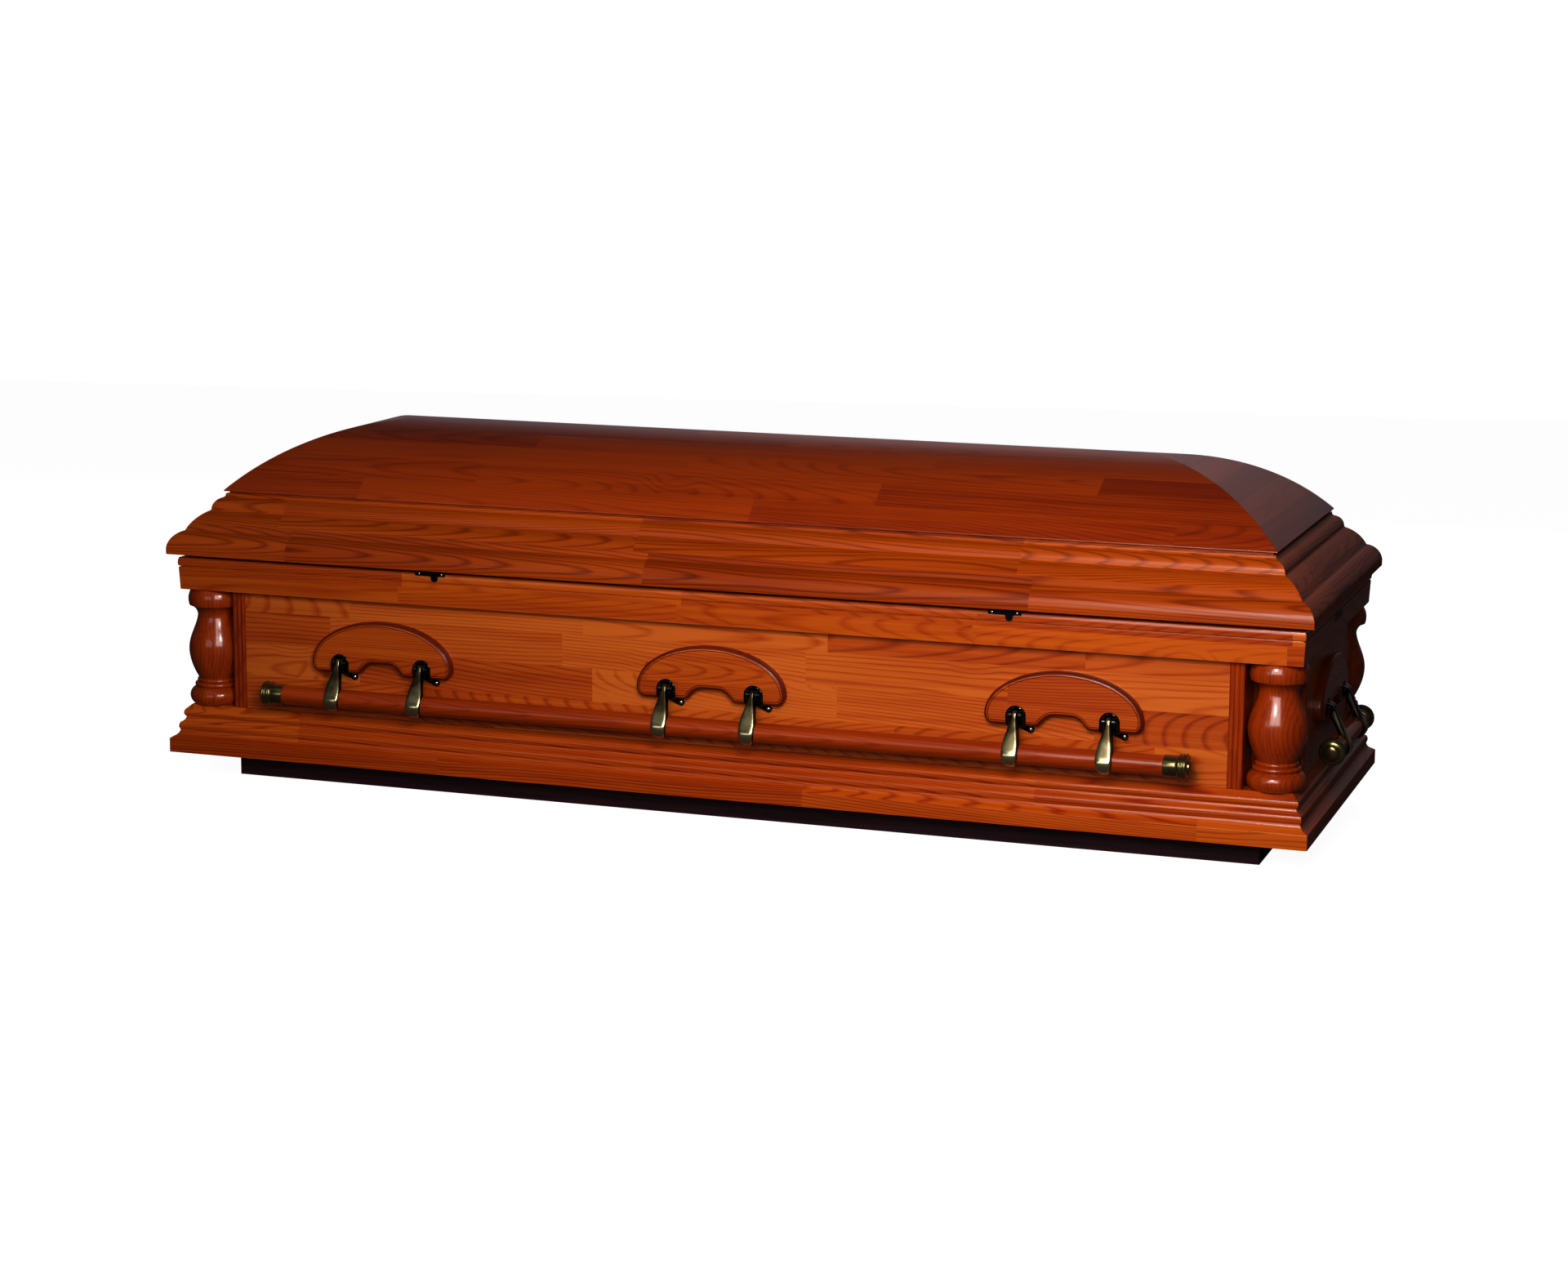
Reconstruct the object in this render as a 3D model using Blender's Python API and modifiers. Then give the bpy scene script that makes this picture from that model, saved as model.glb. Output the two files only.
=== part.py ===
"""A hardwood casket: moulded base, panelled walls, turned corner columns, a hipped dome lid
and swing-bar handles.

Metres, +Z up. X runs along the length, the front faces -Y, and the origin is at the middle of
the underside. Mouldings are drawn as outlines of (outset, height) points: outset is measured
outwards from the rim, which is the rectangle of LENGTH by WIDTH round the foot of the lid.
"""
import math

import bmesh
import bpy
from mathutils import Matrix, Vector

# The whole casket
LENGTH = 2.130
WIDTH = 0.713
SEAT_GAP = 0.0003          # between any two pieces that touch
CUT_MARGIN = 0.002         # how far a cutter runs past what it cuts

# Plinth and base moulding, from the ground up
PLINTH_SHOW = 0.055
PLINTH_SETBACK = 0.095
PLINTH_BOARD = 0.022
BASE_OUTSET = 0.0015
BASE_BAND = 0.026
BASE_COVE_LIP = 0.004      # flat edge above the band, in front of the cove
BASE_COVE_IN = 0.0152
BASE_COVE_RISE = 0.015
BASE_BEAD_RISE = 0.014
BASE_BEAD_BULGE = 0.16
BASE_LEDGE_IN = 0.0085
BASE_LEDGE_RISE = 0.010
BASE_ROLL_RISE = 0.015
BASE_ROLL_BULGE = 0.24
BASE_SLOPE_RISE = 0.008
BASE_TABLE = 0.026
BASE_TABLE_LIP = 0.003      # table top that shows in front of the panels
BASE_SKIRT = 0.028

# Walls, floor and corner posts
PANEL_INSET = 0.034
WALL = 0.020
FLOOR = 0.018
POST_FACE_INSET = 0.031
POST_LEG = 0.0255
REEDS = 3
REED_DEPTH = 0.0028
COLUMN_CLEARANCE = 0.001

# Turned columns, each height from the foot up
COLUMN_INSET = 0.066
COLUMN_SIDES = 12
TORUS_RADIUS = 0.051
TORUS_HEIGHT = 0.032
TORUS_EDGE = 0.043
BEAD_RADII = (0.0420, 0.0375)
BEAD_HEIGHT = 0.008
BEAD_DEPTH = 0.003
NECK_RADIUS = 0.0338
BELLY_RADIUS = 0.0512
BELLY_LOWER = 0.055
BELLY_UPPER = 0.065
BELLY_LOWER_POWER = 0.9
BELLY_UPPER_POWER = 1.6
CAPITAL_FLARE = 0.018
CAPITAL_RADIUS = 0.051
CAPITAL_ROLL = 0.032
CAPITAL_EDGE = 0.044
CAPITAL_UNDERCUT = 0.002

# Rail round the top of the walls
RAIL_OUTSET = -0.0165
FASCIA_HEIGHT = 0.042
FASCIA_BATTER = 0.002
GROOVE_DEPTH = 0.003
GROOVE_HEIGHT = 0.002
STRIP_HEIGHT = 0.016
STRIP_BULGE = 0.10
STRIP_TAPER = 0.001

# Lid rim: three ovolo stages, each (inwards, upwards, bulge, fillet inwards, fillet upwards)
LID_GAP = 0.007
RIM_FACE = 0.011
RIM_STAGES = (
    (0.0220, 0.030, 0.14, 0.0055, 0.004),
    (0.0315, 0.031, 0.08, 0.0035, 0.004),
    (0.0165, 0.020, 0.17, 0.0030, 0.007),
)
RIM_GROOVE_DEPTH = 0.006
RIM_GROOVE = 0.004
RIM_STOCK = 0.030
TONGUE_INSET = 0.030

# Dome of the lid
EAVE_INSET = 0.080
EAVE_LIP = 0.002
CROWN_RADIUS = 0.383
CROWN_SHELL = 0.015
CROWN_STEPS = 8

# Swing-bar handles
BAR_OUTSET = 0.004
BAR_LEVEL = 0.127          # above the foot of the base moulding
BAR_RADIUS = 0.01775
BAR_SIDES = 12             # also the sides of the caps and bores round it
SIDE_BAR_INSET = 0.195     # from the end of the rim to the end of the bar
END_BAR_LENGTH = 0.332
CAP_LENGTH = 0.048
CAP_SOCKET = 0.024
CAP_BARREL = 0.020          # straight length before the flare
CAP_FLARE = 0.008
CAP_DOME = 0.008            # rise of the end from the rim of the flange
CAP_BARREL_RADIUS = 0.0192
CAP_FLANGE_RADIUS = 0.0238
CAP_BUTTON_RADIUS = 0.0127
PIVOT_OUTSET = -0.014
PIVOT_LEVEL = 0.190        # above the foot of the base moulding
KNUCKLE_RADIUS = 0.0085
ARM_FACE = 0.0062
ARM_TOP_WIDTH = 0.0095
ARM_WIDTH = 0.031
ARM_CROWN = 0.009
ARM_TIP_DROP = 0.0035
ARM_BELLY_RISE = 0.004     # widest point of the paddle, above the axis of the bar
ARM_LIP = 0.002            # metal beyond the knuckle above and the bore at the back
ARM_SEAT_DEPTH = 0.002

# Wooden lug plates and the brackets in them
LUG_END_INSET = 0.426      # from the end of the rim to the middle of the outer lug plates
LUG_WIDTH = 0.278
LUG_HEIGHT = 0.098
LUG_LEVEL = 0.171          # above the foot of the base moulding
LUG_THICKNESS = 0.016
LUG_ROUND = 0.006
LUG_CORNER = 0.012
LUG_WAIST = 0.018
ARM_SPACING = 0.164
ARCH_WIDTH = 0.093
ARCH_RISE = 0.021
ARCH_FULLNESS = 2.4
NOTCH_RADIUS = 0.018
NOTCH_DROP = 0.002         # the centre of the notch lies this far under the pivot
NOTCH_MARGIN = 0.010        # how far its cutter runs out below the plate
BRACKET_PLATE = 0.0035
CHEEK = 0.007
CHEEK_GAP = 0.0012
CHEEK_FOOT = 0.015         # below the pivot, at the bracket plate
CHEEK_HEAD = 0.010         # above the pivot, at the bracket plate

# Catches in the seam of the lid
CATCH_END_INSET = 0.530    # from the end of the rim to the middle of a catch
CATCH_LENGTH = 0.058
CATCH_BAR = 0.0065
CATCH_TONGUE = 0.015
CATCH_DROP = 0.0165
CATCH_PLATE = 0.0025
CATCH_TAIL = 0.012
CATCH_EASE = 0.001          # the tail is this much shorter than the bar at each end
TONGUE_SHIFT = 0.008

HALF_LENGTH = LENGTH / 2
HALF_WIDTH = WIDTH / 2
MITRE_GAP = SEAT_GAP / math.sqrt(2)

BASE_RISES = (BASE_BAND, BASE_COVE_RISE, BASE_BEAD_RISE, BASE_LEDGE_RISE, BASE_ROLL_RISE, BASE_SLOPE_RISE)
COLUMN_HEIGHT = (TORUS_HEIGHT + len(BEAD_RADII) * BEAD_HEIGHT + BELLY_LOWER + BELLY_UPPER
                 + CAPITAL_FLARE + CAPITAL_ROLL)

FOOT_Z = PLINTH_SHOW
SILL_Z = FOOT_Z + sum(BASE_RISES)
HEAD_Z = SILL_Z + COLUMN_HEIGHT + 2 * SEAT_GAP
FASCIA_TOP_Z = HEAD_Z + FASCIA_HEIGHT
RAIL_Z = FASCIA_TOP_Z + GROOVE_HEIGHT + STRIP_HEIGHT
LID_Z = RAIL_Z + LID_GAP
EAVE_Z = (LID_Z + RIM_FACE + sum(stage[1] + stage[4] for stage in RIM_STAGES) + RIM_GROOVE)
TABLE_Z = SILL_Z - BASE_TABLE

WALL_INNER_INSET = PANEL_INSET + WALL
POST_INSET = COLUMN_INSET + max(TORUS_RADIUS, BELLY_RADIUS, CAPITAL_RADIUS) + COLUMN_CLEARANCE
POST_INNER_INSET = POST_INSET + POST_LEG
LUG_FACE_INSET = PANEL_INSET - LUG_THICKNESS
PIVOT_Z = FOOT_Z + PIVOT_LEVEL
BAR_Z = FOOT_Z + BAR_LEVEL
LUG_Z = FOOT_Z + LUG_LEVEL


def clear_scene():
    """Remove what the scene holds, and make one collection for the casket and one for cutters."""
    for item in list(bpy.data.objects):
        bpy.data.objects.remove(item, do_unlink=True)
    groups = []
    for name in ("casket", "cutters"):
        group = bpy.data.collections.new(name)
        bpy.context.scene.collection.children.link(group)
        groups.append(group)
    return groups


CASKET, CUTTERS = clear_scene()


def finish(name, colour, roughness, metallic):
    """A plain Principled material."""
    material = bpy.data.materials.new(name)
    material.use_nodes = True
    shader = material.node_tree.nodes["Principled BSDF"]
    shader.inputs["Base Color"].default_value = (*colour, 1.0)
    shader.inputs["Roughness"].default_value = roughness
    shader.inputs["Metallic"].default_value = metallic
    return material


CHERRY = finish("lacquered_cherry_ash", (0.37, 0.06, 0.010), 0.25, 0.0)
PLAIN_WOOD = finish("plain_poplar", (0.30, 0.17, 0.08), 0.7, 0.0)
DARK_WOOD = finish("dark_stained_plinth", (0.035, 0.010, 0.010), 0.5, 0.0)
BRASS = finish("antique_brass", (0.24, 0.17, 0.07), 0.3, 1.0)
BLACK_IRON = finish("black_lacquered_steel", (0.015, 0.015, 0.016), 0.35, 0.8)


def add_object(name, mesh, material, group=CASKET):
    """Put a bmesh into the scene as an object with its normals outwards."""
    bmesh.ops.remove_doubles(mesh, verts=mesh.verts, dist=0.00001)
    bmesh.ops.recalc_face_normals(mesh, faces=mesh.faces)
    data = bpy.data.meshes.new(name)
    mesh.to_mesh(data)
    mesh.free()
    item = bpy.data.objects.new(name, data)
    group.objects.link(item)
    if material:
        data.materials.append(material)
    return item


def as_cutter(item):
    """Keep an object out of the build and show it as wire."""
    item.hide_render = True
    item.display_type = "WIRE"
    return item


def boolean(item, cutter, operation):
    """Add an exact Boolean of a cutter to an object."""
    step = item.modifiers.new(operation.lower(), "BOOLEAN")
    step.operation = operation
    step.solver = "EXACT"
    step.object = as_cutter(cutter)


def arc(start, end, bulge, steps=4):
    """Points after start up to end on an arc that bows outwards by bulge times its chord."""
    start, end = Vector(start), Vector(end)
    chord = end - start
    along = chord.normalized()
    out = Vector((along.y, -along.x))
    half = 2 * math.atan(2 * bulge)
    radius = chord.length / (2 * math.sin(half))
    centre = (start + end) / 2 - out * radius * math.cos(half)
    turns = [half * (2 * step / steps - 1) for step in range(1, steps + 1)]
    return [tuple(centre + radius * (out * math.cos(turn) + along * math.sin(turn))) for turn in turns]


def base_outline():
    """Section of the base: moulded skirt, and the table inside it that carries walls and columns."""
    band_top = FOOT_Z + BASE_BAND
    cove_top = (BASE_OUTSET - BASE_COVE_IN, band_top + BASE_COVE_RISE)
    bead_top = (cove_top[0], cove_top[1] + BASE_BEAD_RISE)
    ledge = (bead_top[0] - BASE_LEDGE_IN, bead_top[1] + BASE_LEDGE_RISE)
    roll_top = (ledge[0], ledge[1] + BASE_ROLL_RISE)
    points = [(BASE_OUTSET, FOOT_Z), (BASE_OUTSET, band_top)]
    points += arc((BASE_OUTSET - BASE_COVE_LIP, band_top + BASE_COVE_LIP * 0.75), cove_top, -0.14)
    points += arc(cove_top, bead_top, BASE_BEAD_BULGE)
    points += arc((bead_top[0] - BASE_COVE_LIP / 2, bead_top[1] + BASE_COVE_LIP / 4), ledge, -0.12, 3)
    points += arc(ledge, roll_top, BASE_ROLL_BULGE)
    points += [(-PANEL_INSET + BASE_TABLE_LIP, SILL_Z), (-POST_INNER_INSET, SILL_Z), (-POST_INNER_INSET, TABLE_Z)]
    points += [(BASE_OUTSET - BASE_SKIRT, TABLE_Z), (BASE_OUTSET - BASE_SKIRT, FOOT_Z)]
    return points


def rail_outline():
    """Section of the rail: fascia, fine groove and rounded strip, rebated over the walls."""
    foot = (RAIL_OUTSET - FASCIA_BATTER, HEAD_Z)
    groove_in = RAIL_OUTSET - GROOVE_DEPTH
    groove_top = FASCIA_TOP_Z + GROOVE_HEIGHT
    wall_top = groove_top - GROOVE_HEIGHT + SEAT_GAP
    points = [foot, (RAIL_OUTSET, FASCIA_TOP_Z), (groove_in, FASCIA_TOP_Z), (groove_in, groove_top)]
    points += [(RAIL_OUTSET, groove_top)]
    points += arc((RAIL_OUTSET, groove_top), (RAIL_OUTSET - STRIP_TAPER, RAIL_Z), STRIP_BULGE)
    points += [(-WALL_INNER_INSET, RAIL_Z), (-WALL_INNER_INSET, wall_top)]
    points += [(-PANEL_INSET + SEAT_GAP, wall_top), (-PANEL_INSET + SEAT_GAP, HEAD_Z)]
    return points


def rim_outline():
    """Section of the lid rim: three ovolo stages outside, and a tongue below that sits on the rail."""
    outset, height = 0.0, LID_Z + RIM_FACE
    points = [(0.0, LID_Z), (outset, height)]
    for inwards, upwards, bulge, fillet_in, fillet_up in RIM_STAGES:
        crest = (outset - inwards, height + upwards)
        points += arc((outset, height), crest, bulge)
        outset, height = crest[0] - fillet_in, crest[1] + fillet_up
        points += [(outset, crest[1]), (outset, height)]
    points += [(outset - RIM_GROOVE_DEPTH, height), (outset - RIM_GROOVE_DEPTH, EAVE_Z)]
    inner_top = outset - RIM_GROOVE_DEPTH - RIM_STOCK / 2
    shoulder = height - RIM_STOCK / 2
    inner_foot = -WALL_INNER_INSET
    knee = shoulder - (inner_foot - inner_top)
    points += [(inner_top, EAVE_Z), (inner_top, shoulder), (inner_foot, knee)]
    points += [(inner_foot, RAIL_Z + SEAT_GAP), (-TONGUE_INSET, RAIL_Z + SEAT_GAP), (-TONGUE_INSET, LID_Z)]
    return points


def crown_outline():
    """Section of the dome shell: from the eave up over the outside and down the inside."""
    foot = EAVE_Z + SEAT_GAP
    eave = HALF_WIDTH - EAVE_INSET
    centre = foot + EAVE_LIP - math.sqrt(CROWN_RADIUS ** 2 - eave ** 2)
    outer_turn = math.asin(eave / CROWN_RADIUS)
    inner_radius = CROWN_RADIUS - CROWN_SHELL
    inner_turn = math.acos((foot - centre) / inner_radius)
    points = [(-EAVE_INSET, foot)]
    for radius, full, order in ((CROWN_RADIUS, outer_turn, range(CROWN_STEPS, -1, -1)),
                                (inner_radius, inner_turn, range(CROWN_STEPS + 1))):
        for step in order:
            reach = max(radius * math.sin(full * step / CROWN_STEPS), MITRE_GAP)
            points.append((reach - HALF_WIDTH, centre + math.sqrt(radius ** 2 - reach ** 2)))
    return points


def mitred_frame(name, outline, material):
    """An outline swept round the rim's rectangle as one glued frame."""
    mesh = bmesh.new()
    corners = ((-1, -1), (1, -1), (1, 1), (-1, 1))
    rings = [[mesh.verts.new((sx * (HALF_LENGTH + out), sy * (HALF_WIDTH + out), height))
              for sx, sy in corners] for out, height in outline]
    for ring, following in zip(rings, rings[1:] + rings[:1]):
        for side in range(4):
            turn = (side + 1) % 4
            mesh.faces.new((ring[side], ring[turn], following[turn], following[side]))
    return add_object(name, mesh, material)


def mitred_length(name, outline, along_x, sign, material):
    """An outline swept along one side of the rectangle, with both ends cut at 45 degrees."""
    half_run, half_reach = (HALF_LENGTH, HALF_WIDTH) if along_x else (HALF_WIDTH, HALF_LENGTH)
    mesh = bmesh.new()
    ends = []
    for end in (-1, 1):
        row = []
        for out, height in outline:
            run = end * (half_run + out - MITRE_GAP)
            reach = sign * (half_reach + out)
            row.append(mesh.verts.new((run, reach, height) if along_x else (reach, run, height)))
        ends.append(row)
    count = len(outline)
    for here in range(count):
        there = (here + 1) % count
        mesh.faces.new((ends[0][here], ends[0][there], ends[1][there], ends[1][here]))
    for row in ends:
        mesh.faces.new(row)
    return add_object(name, mesh, material)


def box(name, low, high, material):
    """A cube primitive stretched between two corners, with its scale applied."""
    low, high = Vector(low), Vector(high)
    mesh = bmesh.new()
    bmesh.ops.create_cube(mesh, size=1.0)
    bmesh.ops.scale(mesh, vec=high - low, verts=mesh.verts)
    bmesh.ops.translate(mesh, vec=(low + high) / 2, verts=mesh.verts)
    return add_object(name, mesh, material)


def prism(name, outline, thickness, material, group=CASKET):
    """A flat outline in the XY plane, raised by thickness."""
    mesh = bmesh.new()
    face = mesh.faces.new([mesh.verts.new((x, y, 0.0)) for x, y in outline])
    raised = bmesh.ops.extrude_face_region(mesh, geom=[face])
    top = [item for item in raised["geom"] if isinstance(item, bmesh.types.BMVert)]
    bmesh.ops.translate(mesh, vec=(0.0, 0.0, thickness), verts=top)
    return add_object(name, mesh, material, group)


def turned(name, profile, sides, material):
    """A profile of (radius, height) points, top to bottom, turned round Z with a Screw modifier."""
    data = bpy.data.meshes.new(name)
    points = [(radius, 0.0, height) for radius, height in profile]
    data.from_pydata(points, [(index, index + 1) for index in range(len(points) - 1)], [])
    data.materials.append(material)
    item = bpy.data.objects.new(name, data)
    CASKET.objects.link(item)
    screw = item.modifiers.new("turned", "SCREW")
    screw.axis = "Z"
    screw.steps = sides
    screw.render_steps = sides
    screw.use_merge_vertices = True
    screw.merge_threshold = 0.00005
    return item


def column_profile():
    """Radius and height down a corner column, worked out from the foot up and then reversed."""
    points = [(0.0, 0.0), (TORUS_EDGE, 0.0)]
    points += arc((TORUS_EDGE, 0.0), (BEAD_RADII[0] - BEAD_DEPTH, TORUS_HEIGHT), torus_bulge(), 4)
    height = TORUS_HEIGHT
    for radius in BEAD_RADII:
        waist = radius - BEAD_DEPTH
        points += arc((waist, height), (waist, height + BEAD_HEIGHT), 0.3, 2)
        height += BEAD_HEIGHT
    swell = BELLY_RADIUS - NECK_RADIUS
    for rise, power, order in ((BELLY_LOWER, BELLY_LOWER_POWER, (1.0, 0.78, 0.52, 0.25)),
                               (BELLY_UPPER, BELLY_UPPER_POWER, (0.0, 0.26, 0.5, 0.74, 1.0))):
        for share in order:
            level = height + rise * (1 - share if order[0] else share)
            radius = NECK_RADIUS + swell * max(math.cos(share * math.pi / 2), 0.0) ** power
            points.append((radius, level))
        height += rise
    flare_top = (CAPITAL_RADIUS - CAPITAL_UNDERCUT, height + CAPITAL_FLARE)
    points += arc((NECK_RADIUS, height), flare_top, -0.16, 2)
    roll_top = (CAPITAL_EDGE, flare_top[1] + CAPITAL_ROLL)
    points += arc(flare_top, roll_top, 0.12, 3)
    points.append((0.0, roll_top[1]))
    return points[::-1]


def torus_bulge():
    """Bulge that lets the foot torus reach TORUS_RADIUS."""
    chord = math.hypot(TORUS_HEIGHT, TORUS_EDGE - BEAD_RADII[0] + BEAD_DEPTH)
    return (TORUS_RADIUS - (TORUS_EDGE + BEAD_RADII[0] - BEAD_DEPTH) / 2) / chord


def cap_profile():
    """Radius and height of a bar cap, outer end up, with a socket for the wooden bar."""
    rim = CAP_LENGTH - CAP_DOME
    ring = CAP_BARREL + CAP_FLARE
    socket = BAR_RADIUS + SEAT_GAP
    return [
        (0.0, CAP_LENGTH), (CAP_BUTTON_RADIUS * 0.8, CAP_LENGTH - CAP_DOME / 8),
        (CAP_FLANGE_RADIUS - CAP_DOME / 2, rim), (CAP_FLANGE_RADIUS, rim - CAP_DOME / 2),
        (CAP_FLANGE_RADIUS, ring), (CAP_BARREL_RADIUS, CAP_BARREL), (CAP_BARREL_RADIUS, 0.0),
        (socket, 0.0), (socket, CAP_SOCKET), (0.0, CAP_SOCKET),
    ]


def post_outline(sx, sy):
    """Plan of a corner post: an L round the column, each end of its legs cut into reeds."""
    reed = POST_LEG / REEDS
    front = []
    for index in range(REEDS):
        start = POST_INSET + index * reed
        front += [(start + share * reed, POST_FACE_INSET + REED_DEPTH * (1 - math.sin(share * math.pi)))
                  for share in (0.0, 0.33, 0.67)]
    front.append((POST_INNER_INSET, POST_FACE_INSET + REED_DEPTH))
    side = [(across, along) for along, across in reversed(front)]
    plan = front + [(POST_INNER_INSET, POST_INNER_INSET)] + side + [(POST_INSET, POST_INSET)]
    return [(sx * (HALF_LENGTH - along), sy * (HALF_WIDTH - across)) for along, across in plan]


def make_body():
    """Plinth, base, floor, walls, posts, columns and rail."""
    inner = PLINTH_SETBACK + PLINTH_BOARD
    top = TABLE_Z - SEAT_GAP
    mitred_frame("plinth", [(-PLINTH_SETBACK, 0.0), (-PLINTH_SETBACK, top), (-inner, top), (-inner, 0.0)],
                 DARK_WOOD)
    mitred_frame("base_moulding", base_outline(), CHERRY)
    mitred_frame("top_rail", rail_outline(), CHERRY)

    foot, head = SILL_Z + SEAT_GAP, FASCIA_TOP_Z
    run_x = HALF_LENGTH - POST_INNER_INSET - SEAT_GAP
    run_y = HALF_WIDTH - POST_INNER_INSET - SEAT_GAP
    for sign, name in ((-1, "front_panel"), (1, "back_panel")):
        faces = sorted((sign * (HALF_WIDTH - PANEL_INSET), sign * (HALF_WIDTH - WALL_INNER_INSET)))
        box(name, (-run_x, faces[0], foot), (run_x, faces[1], head), CHERRY)
    for sign, name in ((-1, "left_end_panel"), (1, "right_end_panel")):
        faces = sorted((sign * (HALF_LENGTH - PANEL_INSET), sign * (HALF_LENGTH - WALL_INNER_INSET)))
        box(name, (faces[0], -run_y, foot), (faces[1], run_y, head), CHERRY)

    wide_x = HALF_LENGTH - WALL_INNER_INSET - SEAT_GAP
    wide_y = HALF_WIDTH - WALL_INNER_INSET - SEAT_GAP
    quarter = [(wide_x, run_y), (run_x, run_y), (run_x, wide_y)]
    plan = quarter + [(-x, y) for x, y in reversed(quarter)]
    plan += [(-x, -y) for x, y in quarter] + [(x, -y) for x, y in reversed(quarter)]
    floor = prism("floor_board", plan, FLOOR, PLAIN_WOOD)
    floor.location.z = foot

    for sx, along in ((-1, "left"), (1, "right")):
        for sy, across in ((-1, "front"), (1, "back")):
            make_corner(sx, sy, across + "_" + along)


def make_corner(sx, sy, place):
    """A reeded corner post with its head block, and the turned column that stands in its recess."""
    foot = SILL_Z + SEAT_GAP
    post = prism("post_" + place, post_outline(sx, sy), HEAD_Z - foot, CHERRY)
    post.location.z = foot
    reach = PANEL_INSET + SEAT_GAP * 2
    near = (sx * (HALF_LENGTH - reach), sy * (HALF_WIDTH - reach))
    far = (sx * (HALF_LENGTH - POST_INNER_INSET), sy * (HALF_WIDTH - POST_INNER_INSET))
    low = (min(near[0], far[0]), min(near[1], far[1]), HEAD_Z - SEAT_GAP)
    high = (max(near[0], far[0]), max(near[1], far[1]), FASCIA_TOP_Z)
    block = box("head_block_" + place, low, high, None)
    CASKET.objects.unlink(block)
    CUTTERS.objects.link(block)
    boolean(post, block, "UNION")
    column = turned("column_" + place, column_profile(), COLUMN_SIDES, CHERRY)
    column.location = (sx * (HALF_LENGTH - COLUMN_INSET), sy * (HALF_WIDTH - COLUMN_INSET), foot)


def make_lid():
    """Lid rim, the four shells of the dome, and the two catches in the seam."""
    mitred_frame("lid_rim", rim_outline(), CHERRY)
    outline = crown_outline()
    mitred_length("crown_front", outline, True, -1, CHERRY)
    mitred_length("crown_back", outline, True, 1, CHERRY)
    mitred_length("crown_left_end", outline, False, -1, CHERRY)
    mitred_length("crown_right_end", outline, False, 1, CHERRY)
    for sign, name in ((-1, "catch_left"), (1, "catch_right")):
        make_catch(name, sign * (HALF_LENGTH - CATCH_END_INSET))


def make_catch(name, centre_x):
    """A black T plate on the face of the rail, with a tail that runs back into the seam."""
    face = -(HALF_WIDTH + RAIL_OUTSET) - STRIP_BULGE * STRIP_HEIGHT - SEAT_GAP
    top = RAIL_Z + SEAT_GAP + CATCH_PLATE
    half, tongue = CATCH_LENGTH / 2, CATCH_TONGUE / 2
    drop = top - CATCH_DROP
    under = top - CATCH_BAR
    plan = [(-half, under), (TONGUE_SHIFT - tongue, under), (TONGUE_SHIFT - tongue * 0.7, drop),
            (TONGUE_SHIFT + tongue * 0.7, drop), (TONGUE_SHIFT + tongue, under), (half, under),
            (half, top), (-half, top)]
    plate = prism(name, plan, CATCH_PLATE, BLACK_IRON)
    plate.rotation_euler = (math.pi / 2, 0.0, 0.0)
    plate.location = (centre_x, face, 0.0)
    tail = box(name + "_tail", (centre_x - half + CATCH_EASE, face - CATCH_PLATE / 2, RAIL_Z + SEAT_GAP),
               (centre_x + half - CATCH_EASE, face + CATCH_TAIL, top - SEAT_GAP), None)
    CASKET.objects.unlink(tail)
    CUTTERS.objects.link(tail)
    boolean(plate, tail, "UNION")


def lug_outline():
    """Front view of a lug plate: an arched top, rounded feet and an ogee arch between them."""
    half = LUG_WIDTH / 2
    foot_half = half - LUG_CORNER
    arch_half = ARCH_WIDTH / 2
    right = [(foot_half * 0.985, 0.0)]
    right += arc((foot_half, 0.0), (half, LUG_WAIST), 0.16, 2)
    rise = LUG_HEIGHT - LUG_WAIST
    right += [(half * math.cos(turn), LUG_WAIST + rise * math.sin(turn))
              for turn in (math.pi / 2 * step / 6 for step in range(1, 6))]
    left = [(-x, z) for x, z in reversed(right)]
    arch = []
    for step in range(-3, 4):
        share = step / 3
        arch.append((arch_half * share, ARCH_RISE * (1 + math.cos(math.pi * abs(share) ** ARCH_FULLNESS)) / 2))
    return right + [(0.0, LUG_HEIGHT)] + left + arch


def notch_outline():
    """Front view of the notch that a bracket stands in, open at the bottom."""
    spring = PIVOT_Z - LUG_Z - NOTCH_DROP
    top = [(NOTCH_RADIUS * math.cos(turn), spring + NOTCH_RADIUS * math.sin(turn))
           for turn in (math.pi * step / 4 for step in range(5))]
    return [(NOTCH_RADIUS, -NOTCH_MARGIN)] + top + [(-NOTCH_RADIUS, -NOTCH_MARGIN)]


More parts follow.
